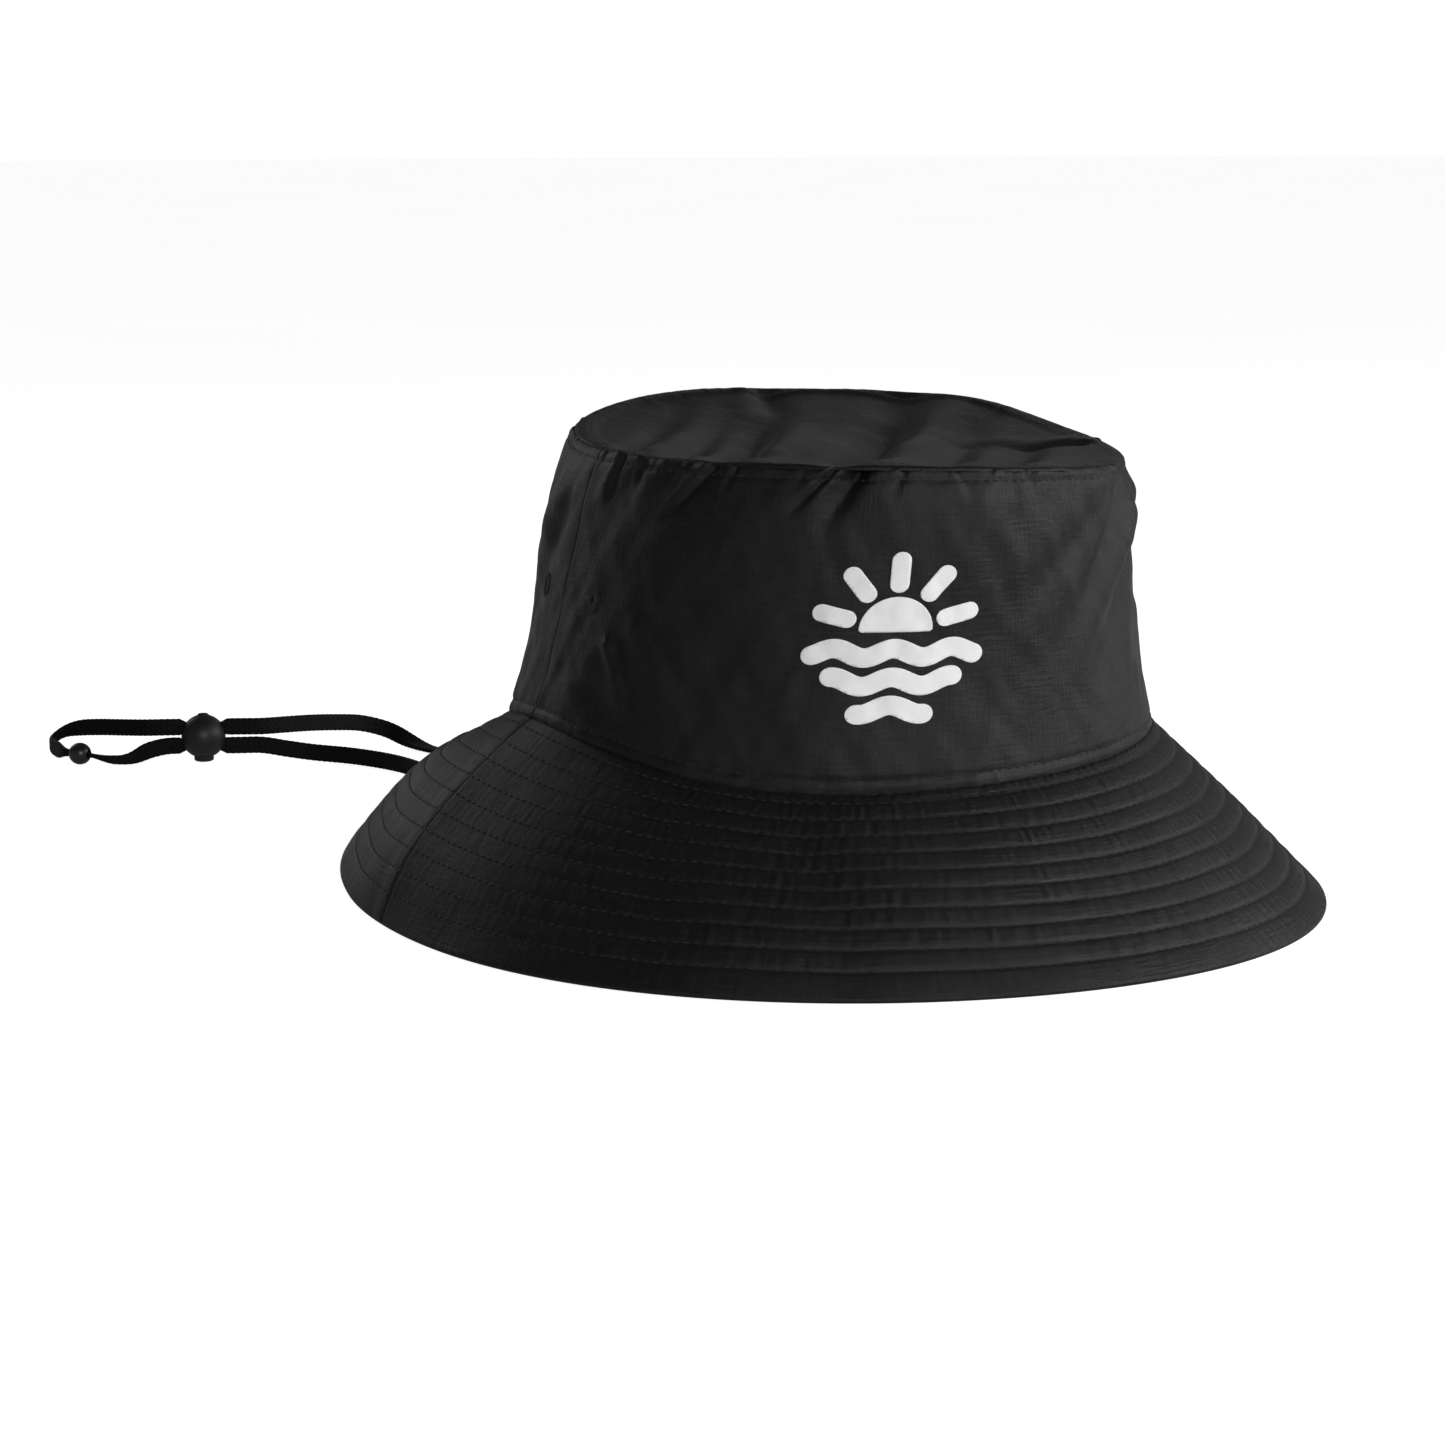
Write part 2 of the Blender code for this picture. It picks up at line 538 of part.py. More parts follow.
def smooth_route(points, samples):
    """A centripetal curve through the route's points, read at even steps."""
    pts = [np.array(p, float) for p in points]
    pts = [2 * pts[0] - pts[1]] + pts + [2 * pts[-1] - pts[-2]]
    dense = []
    for i in range(1, len(pts) - 2):
        p0, p1, p2, p3 = pts[i - 1:i + 3]
        t0 = 0.0
        t1 = t0 + np.linalg.norm(p1 - p0) ** 0.5
        t2 = t1 + np.linalg.norm(p2 - p1) ** 0.5
        t3 = t2 + np.linalg.norm(p3 - p2) ** 0.5
        for k in range(16):
            t = t1 + (t2 - t1) * k / 16
            a1 = (t1 - t) / (t1 - t0) * p0 + (t - t0) / (t1 - t0) * p1
            a2 = (t2 - t) / (t2 - t1) * p1 + (t - t1) / (t2 - t1) * p2
            a3 = (t3 - t) / (t3 - t2) * p2 + (t - t2) / (t3 - t2) * p3
            b1 = (t2 - t) / (t2 - t0) * a1 + (t - t0) / (t2 - t0) * a2
            b2 = (t3 - t) / (t3 - t1) * a2 + (t - t1) / (t3 - t1) * a3
            dense.append((t2 - t) / (t2 - t1) * b1 + (t - t1) / (t2 - t1) * b2)
    dense.append(pts[-2])
    dense = np.array(dense)
    run = np.concatenate([[0], np.cumsum(np.linalg.norm(np.diff(dense, axis=0), axis=1))])
    want = np.linspace(0, run[-1], samples)
    return np.stack([np.interp(want, run, dense[:, k]) for k in range(3)], 1), run[-1]


path, CORD_LENGTH = smooth_route(ROUTE, 80)
curve = bpy.data.curves.new("chin_cord", "CURVE")
curve.dimensions = "3D"
curve.bevel_depth = CORD_R
curve.bevel_resolution = 2
curve.use_fill_caps = True
curve.render_resolution_u = 0
spline = curve.splines.new("POLY")
spline.points.add(len(path) - 1)
for pt, co in zip(spline.points, path):
    pt.co = (co[0], co[1], co[2], 1.0)
cord = bpy.data.objects.new("chin_cord", curve)
bpy.context.collection.objects.link(cord)
curve.materials.append(material("chin_cord", (0.014, 0.014, 0.015), 0.7))

# ------------------------------------------------------------------ placing
# every piece above is laid out from the centre of the head oval; one parent
# moves the whole hat so that the middle of its outline is at the origin
frame = bpy.data.objects.new("hat_frame", None)
bpy.context.collection.objects.link(frame)
frame.location = (-MIDDLE_X, -MIDDLE_Y, 0.0)
for ob in bpy.data.objects:
    if ob is not frame:
        ob.parent = frame
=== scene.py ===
"""The looks of the bucket hat: fabric panels, stitching, lace, lock, bead and studio."""
import math

import bmesh
import bpy
import numpy as np
from mathutils import Matrix, Vector


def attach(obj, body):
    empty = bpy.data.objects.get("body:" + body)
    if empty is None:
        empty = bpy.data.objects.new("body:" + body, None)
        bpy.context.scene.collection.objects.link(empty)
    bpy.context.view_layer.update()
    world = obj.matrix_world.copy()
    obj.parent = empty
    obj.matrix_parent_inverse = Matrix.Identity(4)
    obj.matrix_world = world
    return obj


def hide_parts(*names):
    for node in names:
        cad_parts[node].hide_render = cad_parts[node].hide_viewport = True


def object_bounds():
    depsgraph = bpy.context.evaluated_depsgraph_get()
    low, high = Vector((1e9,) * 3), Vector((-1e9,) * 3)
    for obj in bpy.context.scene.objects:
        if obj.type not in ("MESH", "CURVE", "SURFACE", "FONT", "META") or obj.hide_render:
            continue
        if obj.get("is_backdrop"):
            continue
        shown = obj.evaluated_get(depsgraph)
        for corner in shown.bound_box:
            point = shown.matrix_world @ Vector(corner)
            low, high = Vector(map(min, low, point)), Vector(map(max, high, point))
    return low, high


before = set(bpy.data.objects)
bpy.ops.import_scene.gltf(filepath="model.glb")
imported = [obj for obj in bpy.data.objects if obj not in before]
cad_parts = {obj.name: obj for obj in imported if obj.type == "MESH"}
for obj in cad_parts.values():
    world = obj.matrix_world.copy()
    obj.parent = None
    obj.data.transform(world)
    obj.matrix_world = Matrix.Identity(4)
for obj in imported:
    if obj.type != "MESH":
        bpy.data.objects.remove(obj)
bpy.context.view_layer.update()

TAU = 2 * math.pi
# everything below is laid out from the centre of the head oval, as the frame's source is
MID = np.array((0.0039, 0.0013, 0.0))

# ------------------------------------------------------------------ the hat's measures
HEAD_HALF_WIDTH, HEAD_HALF_LENGTH, HEAD_SEAM_Z = 0.0944, 0.1010, 0.0530
HEAD_LEAN_X, HEAD_LEAN_Y = 0.0116, 0.0519
HEAD_WAVE = (-0.0002, 0.0024, -0.0044, -0.0021, 0.0014, -0.0014)
TIP_X, TIP_Y, TIP_Z = 0.0042, -0.0014, 0.1368
TIP_HALF_WIDTH, TIP_HALF_LENGTH, TIP_SQUARENESS = 0.0754, 0.0934, 2.17
TIP_LEAN_X, TIP_LEAN_Y = 0.0028, 0.0472
TIP_WAVE = (-0.0020, 0.0019)
TIP_SINK = 0.0045
CROWN_WAIST, CROWN_WAIST_X, CROWN_WAIST_Y, CROWN_SHOULDER = -0.0025, -0.0011, 0.0012, 0.0065
BRIM_WIDTH, BRIM_WIDTH_WAVE = 0.0710, (0.0003, 0.0008, 0.0022, -0.0020)
BRIM_CROWN, BRIM_CROWN_SIDE, BRIM_CROWN_DIR = 0.0036, 0.0038, 160.0
BACK_LIFT, BACK_LIFT_START = 0.0126, 0.29
EYELET_ANGLE, EYELET_HEIGHT, EYELET_R, EYELET_HOLE_R = 10.5, 0.525, 0.0039, 0.0013
LOCK = np.array((-0.1147, 0.2869, 0.0093))
LOCK_YAW, LOCK_R, STRAND_OFFSET, PLUNGER_R = -20.0, 0.0079, 0.0034, 0.0035
BEAD = np.array((-0.1569, 0.2987, 0.0041))
BEAD_YAW, BEAD_R = -48.7, 0.0039
TAB_DEPTH, TAB_DROP = 0.0058, 0.0060
LACE_WIDTH, LACE_THICK = 0.0060, 0.0020
CROWN_HEIGHT = 0.086       # about, along the cloth
CROWN_RADIUS = 0.095       # about, for measuring along the crown side


# ------------------------------------------------------------------ camera, light, floor
def stand(ob, location, right, up):
    back = np.cross(right, up)
    m = Matrix([[right[i], up[i], back[i], location[i]] for i in range(3)] + [[0, 0, 0, 1]])
    ob.matrix_world = m


camera_data = bpy.data.cameras.new("camera")
camera = bpy.data.objects.new("camera", camera_data)
bpy.context.scene.collection.objects.link(camera)
eye = np.array((-0.46710, -1.01105, 0.23427))
aim = np.array((-0.03320, 0.01114, 0.04996))
gaze = (aim - eye) / np.linalg.norm(aim - eye)
level = np.cross(gaze, (0, 0, 1))
level /= np.linalg.norm(level)
above = np.cross(level, gaze)
roll = math.radians(-0.2052)
stand(camera, eye, level * math.cos(roll) + above * math.sin(roll),
      -level * math.sin(roll) + above * math.cos(roll))
camera_data.sensor_width = 36.0
camera_data.lens = 36.0 * 3766.0 / 1445.0
camera_data.clip_start, camera_data.clip_end = 0.05, 60.0
bpy.context.scene.camera = camera
bpy.context.scene.view_settings.view_transform = "Standard"

VIEW_RIGHT = np.array((0.9205, -0.3907, 0.0))
VIEW_IN = np.array((0.3907, 0.9205, 0.0))


def soft_box(name, right, inward, up, size, power, aim_z=0.08):
    data = bpy.data.lights.new(name, "AREA")
    data.shape = "RECTANGLE"
    data.size, data.size_y = size
    data.energy = power
    ob = bpy.data.objects.new(name, data)
    bpy.context.scene.collection.objects.link(ob)
    place = VIEW_RIGHT * right + VIEW_IN * inward + np.array((0, 0, up))
    back = place - np.array((0.0, 0.0, aim_z))
    back /= np.linalg.norm(back)
    x = np.cross((0, 0, 1), back)
    x /= np.linalg.norm(x)
    stand(ob, place, x, np.cross(back, x))
    return ob


soft_box("key_right", 1.50, -0.75, 0.70, (0.6, 0.6), 15.0)
soft_box("strip_right", 1.15, 0.35, 0.50, (0.15, 0.8), 3.8)
soft_box("top_back", 0.60, 1.45, 0.75, (1.2, 0.4), 0.6)
soft_box("rim_left", -1.05, 1.35, 0.60, (0.4, 0.7), 1.4)
soft_box("front_fill", 0.25, -1.85, 0.62, (1.2, 0.8), 11.5)
soft_box("left_fill", -1.60, -0.70, 0.55, (0.9, 0.9), 0.5)

world = bpy.data.worlds.new("studio")
bpy.context.scene.world = world
world.use_nodes = True
wn = world.node_tree
wn.nodes.clear()
w_out = wn.nodes.new("ShaderNodeOutputWorld")
w_mix = wn.nodes.new("ShaderNodeMixShader")
w_path = wn.nodes.new("ShaderNodeLightPath")
w_seen = wn.nodes.new("ShaderNodeBackground")
w_lit = wn.nodes.new("ShaderNodeBackground")
w_seen.inputs[0].default_value = (1.0, 1.0, 1.0, 1.0)
w_seen.inputs[1].default_value = 1.0
w_lit.inputs[0].default_value = (1.0, 1.0, 1.0, 1.0)
w_lit.inputs[1].default_value = 0.07
wn.links.new(w_path.outputs["Is Camera Ray"], w_mix.inputs[0])
wn.links.new(w_lit.outputs[0], w_mix.inputs[1])
wn.links.new(w_seen.outputs[0], w_mix.inputs[2])
wn.links.new(w_mix.outputs[0], w_out.inputs[0])


# ------------------------------------------------------------------ materials
def nodes_of(name):
    m = bpy.data.materials.new(name)
    m.use_nodes = True
    nt = m.node_tree
    return m, nt, nt.nodes["Principled BSDF"]


def math_node(nt, op, a, b=None, c=None):
    n = nt.nodes.new("ShaderNodeMath")
    n.operation = op
    for i, v in enumerate((a, b, c)):
        if v is None:
            continue
        if isinstance(v, (int, float)):
            n.inputs[i].default_value = v
        else:
            nt.links.new(v, n.inputs[i])
    return n.outputs[0]


def noise(nt, vector, scale, detail=2.0, rough=0.5):
    n = nt.nodes.new("ShaderNodeTexNoise")
    n.inputs["Scale"].default_value = scale
    n.inputs["Detail"].default_value = detail
    n.inputs["Roughness"].default_value = rough
    nt.links.new(vector, n.inputs["Vector"])
    return n.outputs["Fac"]


def ramp(nt, value, low, high, to_low, to_high):
    n = nt.nodes.new("ShaderNodeMapRange")
    for key, v in (("From Min", low), ("From Max", high), ("To Min", to_low), ("To Max", to_high)):
        n.inputs[key].default_value = v
    nt.links.new(value, n.inputs["Value"])
    return n.outputs["Result"]


def tint(nt, value, dark, light):
    n = nt.nodes.new("ShaderNodeMix")
    n.data_type = "RGBA"
    n.inputs[6].default_value = (*dark, 1.0)
    n.inputs[7].default_value = (*light, 1.0)
    nt.links.new(value, n.inputs[0])
    return n.outputs[2]


def bump(nt, height, strength, distance, under=None):
    n = nt.nodes.new("ShaderNodeBump")
    n.inputs["Strength"].default_value = strength
    n.inputs["Distance"].default_value = distance
    nt.links.new(height, n.inputs["Height"])
    if under is not None:
        nt.links.new(under, n.inputs["Normal"])
    return n.outputs["Normal"]


def woven(name, dark, light, pitch, rough, weave=0.00010, crinkle=0.00026, sheen=0.02, specular=0.26,
          slant=0.0, yarn=3.0):
    """Cloth woven in two directions, from texture coordinates in metres along the cloth."""
    m, nt, b = nodes_of(name)
    uv = nt.nodes.new("ShaderNodeUVMap")
    uv.uv_map = "cloth"
    sep = nt.nodes.new("ShaderNodeSeparateXYZ")
    nt.links.new(uv.outputs[0], sep.inputs[0])
    u, v = sep.outputs[0], sep.outputs[1]
    if slant:
        u = math_node(nt, "ADD", u, math_node(nt, "MULTIPLY", v, slant))
    warp = math_node(nt, "SINE", math_node(nt, "MULTIPLY", u, TAU / pitch))
    weft = math_node(nt, "SINE", math_node(nt, "MULTIPLY", v, TAU / (pitch * 1.25)))
    # over and under: the sign of one direction swaps with the other's half pitch
    over = math_node(nt, "MULTIPLY", warp, weft)
    threads = math_node(nt, "MULTIPLY_ADD", over, 0.5,
                        math_node(nt, "MULTIPLY", math_node(nt, "ABSOLUTE", warp), 0.35))
    obj = nt.nodes.new("ShaderNodeTexCoord").outputs["Object"]
    slub = nt.nodes.new("ShaderNodeMapping")
    slub.inputs["Scale"].default_value = (1.0, 1.0, 0.35)
    nt.links.new(obj, slub.inputs[0])
    fine = noise(nt, obj, 900.0, 2.0)
    mid = noise(nt, obj, 210.0, 3.0, 0.6)
    long_u = nt.nodes.new("ShaderNodeMapping")
    long_u.inputs["Scale"].default_value = (150.0, 1150.0, 1.0)
    nt.links.new(uv.outputs[0], long_u.inputs[0])
    long_v = nt.nodes.new("ShaderNodeMapping")
    long_v.inputs["Scale"].default_value = (1150.0, 190.0, 1.0)
    nt.links.new(uv.outputs[0], long_v.inputs[0])
    yarns = math_node(nt, "ADD", noise(nt, long_u.outputs[0], 1.0, 1.5), noise(nt, long_v.outputs[0], 1.0, 1.5))
    broad = noise(nt, slub.outputs[0], 42.0, 3.0, 0.55)
    n1 = bump(nt, broad, 0.55, crinkle * 4.5)
    n2 = bump(nt, mid, 0.55, crinkle, n1)
    n2 = bump(nt, yarns, 0.6, weave * yarn, n2)
    n3 = bump(nt, threads, 0.7, weave, n2)
    n4 = bump(nt, fine, 0.4, weave * 0.7, n3)
    nt.links.new(n4, b.inputs["Normal"])
    shade = math_node(nt, "MULTIPLY_ADD", fine, 0.2,
                      math_node(nt, "MULTIPLY_ADD", yarns, 0.35, math_node(nt, "MULTIPLY", over, 0.12)))
    nt.links.new(tint(nt, ramp(nt, shade, 0.28, 0.62, 0.0, 1.0), dark, light), b.inputs["Base Color"])
    nt.links.new(ramp(nt, broad, 0.3, 0.7, rough - 0.05, rough + 0.06), b.inputs["Roughness"])
    b.inputs["Specular IOR Level"].default_value = specular
    b.inputs["Sheen Weight"].default_value = sheen
    b.inputs["Sheen Roughness"].default_value = 0.35
    b.inputs["Sheen Tint"].default_value = (0.62, 0.64, 0.68, 1.0)
    return m


def braided(name, dark, light, across, along, rough):
    """Flat braid: chevrons along the lace, from texture coordinates in metres."""
    m, nt, b = nodes_of(name)
    uv = nt.nodes.new("ShaderNodeUVMap")
    uv.uv_map = "cloth"
    sep = nt.nodes.new("ShaderNodeSeparateXYZ")
    nt.links.new(uv.outputs[0], sep.inputs[0])
    # folded across the width into strands, each slanting the other way
    saw = math_node(nt, "PINGPONG", sep.outputs[0], across)
    phase = math_node(nt, "MULTIPLY_ADD", sep.outputs[1], TAU / along,
                      math_node(nt, "MULTIPLY", saw, TAU / along * 1.3))
    chev = math_node(nt, "SINE", phase)
    groove = math_node(nt, "COSINE", math_node(nt, "MULTIPLY", sep.outputs[0], math.pi / across))
    height = math_node(nt, "MULTIPLY_ADD", math_node(nt, "ABSOLUTE", groove), 0.6, chev)
    obj = nt.nodes.new("ShaderNodeTexCoord").outputs["Object"]
    fuzz = noise(nt, obj, 1500.0, 2.0)
    n1 = bump(nt, height, 0.6, 0.00014)
    n2 = bump(nt, fuzz, 0.5, 0.00010, n1)
    nt.links.new(n2, b.inputs["Normal"])
    shade = math_node(nt, "MULTIPLY_ADD", chev, 0.2, fuzz)
    nt.links.new(tint(nt, ramp(nt, shade, 0.1, 0.9, 0.0, 1.0), dark, light), b.inputs["Base Color"])
    nt.links.new(ramp(nt, fuzz, 0.3, 0.7, rough - 0.06, rough + 0.08), b.inputs["Roughness"])
    b.inputs["Specular IOR Level"].default_value = 0.16
    b.inputs["Sheen Weight"].default_value = 0.03
    b.inputs["Sheen Roughness"].default_value = 0.4
    return m


def twisted(name, dark, light, rough):
    """Sewing thread: a fine twist over a soft sheen."""
    m, nt, b = nodes_of(name)
    obj = nt.nodes.new("ShaderNodeTexCoord").outputs["Object"]
    wave = nt.nodes.new("ShaderNodeTexWave")
    wave.wave_type = "BANDS"
    wave.bands_direction = "DIAGONAL"
    wave.inputs["Scale"].default_value = 900.0
    wave.inputs["Distortion"].default_value = 0.6
    nt.links.new(obj, wave.inputs["Vector"])
    fuzz = noise(nt, obj, 2400.0, 1.0)
    n1 = bump(nt, wave.outputs["Fac"], 0.6, 0.00006)
    nt.links.new(bump(nt, fuzz, 0.4, 0.00005, n1), b.inputs["Normal"])
    nt.links.new(tint(nt, wave.outputs["Fac"], dark, light), b.inputs["Base Color"])
    nt.links.new(ramp(nt, fuzz, 0.3, 0.7, rough - 0.05, rough + 0.08), b.inputs["Roughness"])
    b.inputs["Sheen Weight"].default_value = 0.15
    b.inputs["Specular IOR Level"].default_value = 0.4
    return m


def moulded(name, dark, light, rough, coat=0.0):
    """Moulded plastic with a fine spark-eroded grain."""
    m, nt, b = nodes_of(name)
    obj = nt.nodes.new("ShaderNodeTexCoord").outputs["Object"]
    grain = noise(nt, obj, 2600.0, 2.0)
    cloud = noise(nt, obj, 160.0, 3.0)
    nt.links.new(bump(nt, grain, 0.35, 0.00006), b.inputs["Normal"])
    nt.links.new(tint(nt, ramp(nt, cloud, 0.3, 0.7, 0.0, 1.0), dark, light), b.inputs["Base Color"])
    nt.links.new(ramp(nt, math_node(nt, "MULTIPLY_ADD", cloud, 0.6, math_node(nt, "MULTIPLY", grain, 0.4)),
                      0.3, 0.7, rough - 0.06, rough + 0.07), b.inputs["Roughness"])
    b.inputs["Specular IOR Level"].default_value = 0.5
    b.inputs["Coat Weight"].default_value = coat
    b.inputs["Coat Roughness"].default_value = 0.2
    return m


def printed(name):
    """Thick white screen ink over the weave."""
    m, nt, b = nodes_of(name)
    uv = nt.nodes.new("ShaderNodeUVMap")
    uv.uv_map = "cloth"
    sep = nt.nodes.new("ShaderNodeSeparateXYZ")
    nt.links.new(uv.outputs[0], sep.inputs[0])
    warp = math_node(nt, "SINE", math_node(nt, "MULTIPLY", sep.outputs[0], TAU / 0.0007))
    weft = math_node(nt, "SINE", math_node(nt, "MULTIPLY", sep.outputs[1], TAU / 0.0009))
    obj = nt.nodes.new("ShaderNodeTexCoord").outputs["Object"]
    cloud = noise(nt, obj, 300.0, 3.0)
    n1 = bump(nt, cloud, 0.3, 0.0001)
    nt.links.new(bump(nt, math_node(nt, "MULTIPLY", warp, weft), 0.35, 0.00005, n1), b.inputs["Normal"])
    nt.links.new(tint(nt, ramp(nt, cloud, 0.3, 0.7, 0.0, 1.0), (0.90, 0.90, 0.90), (0.97, 0.97, 0.97)),
                 b.inputs["Base Color"])
    nt.links.new(ramp(nt, cloud, 0.3, 0.7, 0.42, 0.55), b.inputs["Roughness"])
    return m


def steel(name):
    m, nt, b = nodes_of(name)
    obj = nt.nodes.new("ShaderNodeTexCoord").outputs["Object"]
    drawn = noise(nt, obj, 1800.0, 2.0)
    nt.links.new(bump(nt, drawn, 0.2, 0.00002), b.inputs["Normal"])
    nt.links.new(tint(nt, drawn, (0.46, 0.46, 0.47), (0.62, 0.62, 0.62)), b.inputs["Base Color"])
    nt.links.new(ramp(nt, drawn, 0.3, 0.7, 0.22, 0.36), b.inputs["Roughness"])
    b.inputs["Metallic"].default_value = 1.0
    return m


SHELL = woven("shell_nylon", (0.0034, 0.0034, 0.0036), (0.0110, 0.0110, 0.0114), 0.00056, 0.42)
UNDER = woven("under_cloth", (0.006, 0.006, 0.0065), (0.012, 0.012, 0.0125), 0.0006, 0.6, crinkle=0.0001)
LINING = woven("band_cloth", (0.007, 0.007, 0.0075), (0.016, 0.016, 0.017), 0.0011, 0.8, weave=0.0002,
               crinkle=0.0001, sheen=0.3, slant=0.6)
TAPE = woven("tape_cloth", (0.006, 0.006, 0.006), (0.014, 0.014, 0.0145), 0.0008, 0.75, weave=0.00015,
             crinkle=0.0001, sheen=0.2, slant=1.0)
INTERLINING = woven("interlining_cloth", (0.020, 0.020, 0.021), (0.034, 0.034, 0.035), 0.0012, 0.9)
LABEL = woven("label_satin", (0.60, 0.60, 0.58), (0.78, 0.78, 0.76), 0.0004, 0.45, weave=0.00006,
              crinkle=0.00008, sheen=0.2)
LACE = braided("lace_braid", (0.0014, 0.0014, 0.0015), (0.0040, 0.0040, 0.0042), 0.0010, 0.0021, 0.62)
# the thread is black, and it is kept darker than the cloth on purpose: its colour also holds painted shade for the
# stitched valleys
THREAD_WITH_PAINTED_SHADE = twisted("sewing_thread_painted_shade", (0.0006, 0.0006, 0.0006), (0.0026, 0.0026, 0.0027), 0.85)
EMBROIDERY = twisted("eyelet_thread", (0.004, 0.004, 0.004), (0.015, 0.015, 0.016), 0.5)
LOCK_PLASTIC = moulded("lock_plastic", (0.007, 0.007, 0.0073), (0.011, 0.011, 0.0113), 0.46)
BEAD_PLASTIC = moulded("bead_plastic", (0.007, 0.007, 0.0075), (0.010, 0.010, 0.0105), 0.34, 0.25)
INK = printed("white_ink")
STEEL = steel("spring_steel")

# floor
fm, fnt, fb = nodes_of("floor_matte")
f_obj = fnt.nodes.new("ShaderNodeTexCoord").outputs["Object"]
f_cloud = noise(fnt, f_obj, 3.0, 2.0)
fnt.links.new(tint(fnt, f_cloud, (0.70, 0.70, 0.70), (0.72, 0.72, 0.72)), fb.inputs["Base Color"])
fb.inputs["Roughness"].default_value = 0.92
fb.inputs["Specular IOR Level"].default_value = 0.1
fnt.links.new(tint(fnt, f_cloud, (0.98, 0.98, 0.98), (1.0, 1.0, 1.0)), fb.inputs["Emission Color"])
# an evenly bright sweep for the camera, which throws less light back up at the hat
f_seen = fnt.nodes.new("ShaderNodeLightPath").outputs["Is Camera Ray"]
fnt.links.new(ramp(fnt, f_seen, 0.0, 1.0, 0.08, 0.92), fb.inputs["Emission Strength"])
floor_mesh = bpy.data.meshes.new("floor")
ring = [(14 * math.cos(TAU * i / 64), 14 * math.sin(TAU * i / 64), 0.0) for i in range(64)]
floor_mesh.from_pydata(ring, [], [tuple(range(64))])
floor_mesh.materials.append(fm)
floor = bpy.data.objects.new("floor", floor_mesh)
floor.location.z = -0.00002
bpy.context.scene.collection.objects.link(floor)
floor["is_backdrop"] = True


# ------------------------------------------------------------------ surfaces of the hat
def smooth01(x):
    x = np.clip(x, 0, 1)
    return x * x * (3 - 2 * x)


def head_seam(a):
    c, s, w = np.cos(a), np.sin(a), HEAD_WAVE
    z = (HEAD_SEAM_Z + HEAD_LEAN_X * HEAD_HALF_WIDTH * c + HEAD_LEAN_Y * HEAD_HALF_LENGTH * s
         + w[0] * np.cos(2 * a) + w[1] * np.sin(2 * a) + w[2] * np.cos(3 * a)
         + w[3] * np.sin(3 * a) + w[4] * np.cos(4 * a) + w[5] * np.sin(4 * a))
    return np.stack([HEAD_HALF_WIDTH * c, HEAD_HALF_LENGTH * s, z], -1)


def head_out(a):
    v = np.stack([np.cos(a) / HEAD_HALF_WIDTH, np.sin(a) / HEAD_HALF_LENGTH, 0 * a], -1)
    return v / np.linalg.norm(v, axis=-1, keepdims=True)


def tip_seam(a):
    c, s = np.cos(a), np.sin(a)
    k = (np.abs(c) ** TIP_SQUARENESS + np.abs(s) ** TIP_SQUARENESS) ** (-1 / TIP_SQUARENESS)
    z = (TIP_Z + TIP_LEAN_X * TIP_HALF_WIDTH * c + TIP_LEAN_Y * TIP_HALF_LENGTH * s
         + TIP_WAVE[0] * np.cos(2 * a) + TIP_WAVE[1] * np.sin(2 * a))
    # the seam isn't quite even: a little high on both sides of the back, and low between them
    for mid_deg, wide, high in ((148, 22, 0.0010), (112, 24, 0.0011), (70, 20, -0.0013), (27, 15, 0.0014)):
        d = (a - math.radians(mid_deg) + math.pi) % TAU - math.pi
        z = z + high * np.exp(-(np.degrees(d) / wide) ** 2)
    return np.stack([TIP_X + TIP_HALF_WIDTH * c * k, TIP_Y + TIP_HALF_LENGTH * s * k, z], -1)


def rim_lift(a):
    x = (np.sin(a) - BACK_LIFT_START) / (1 - BACK_LIFT_START)
    return BACK_LIFT * np.maximum(0.0, x) ** 1.5


def brim_width(a):
    w = BRIM_WIDTH_WAVE
    return (BRIM_WIDTH + w[0] * np.cos(a) + w[1] * np.sin(a)
            + w[2] * np.cos(2 * a) + w[3] * np.sin(2 * a))


def crown_base(a, t):
    t = t[..., None]
    p = tip_seam(a) * (1 - t) + head_seam(a) * t
    waist = (CROWN_WAIST + CROWN_WAIST_X * np.cos(a) + CROWN_WAIST_Y * np.sin(a))[..., None]
    bulge = waist * 4 * t * (1 - t) * (1.6 - 1.2 * t) + CROWN_SHOULDER * 6 * t * (1 - t) ** 3
    return p + head_out(a) * bulge


RIM_R = 0.0008             # the brim's rolled edge


def rim_in(a):
    """How much shorter the cloth is than the frame's, before the roll."""
    return (-0.0008 + 0.0030 * np.maximum(np.cos(a - math.radians(340)), 0) ** 6
            + 0.0030 * np.maximum(np.cos(a - math.radians(145)), 0) ** 6)


def brim_angles(a):
    """(length of the slope, its angle below level) so that the rolled edge touches the table."""
    long = brim_width(a) - rim_in(a)
    drop = head_seam(a)[..., 2] - rim_lift(a)
    f = np.arcsin((drop - 0.002) / long)
    for _ in range(4):
        f = np.arcsin((drop - RIM_R * (1 + np.cos(f)) - 0.0002) / long)
    return long, f


def brim_frame(a):
    long, f = brim_angles(a)
    o = head_out(a)
    run = np.stack([o[..., 0] * np.cos(f), o[..., 1] * np.cos(f), -np.sin(f)], -1)
    rise = np.stack([o[..., 0] * np.sin(f), o[..., 1] * np.sin(f), np.cos(f)], -1)
    return long, run, rise


def brim_base(a, s):
    long, run, rise = brim_frame(a)
    arch = BRIM_CROWN + BRIM_CROWN_SIDE * np.cos(a - math.radians(BRIM_CROWN_DIR)) * 0.80 - 0.0003
    return head_seam(a) + run * (long * s)[..., None] + rise * (arch * 4 * s * (1 - s))[..., None]


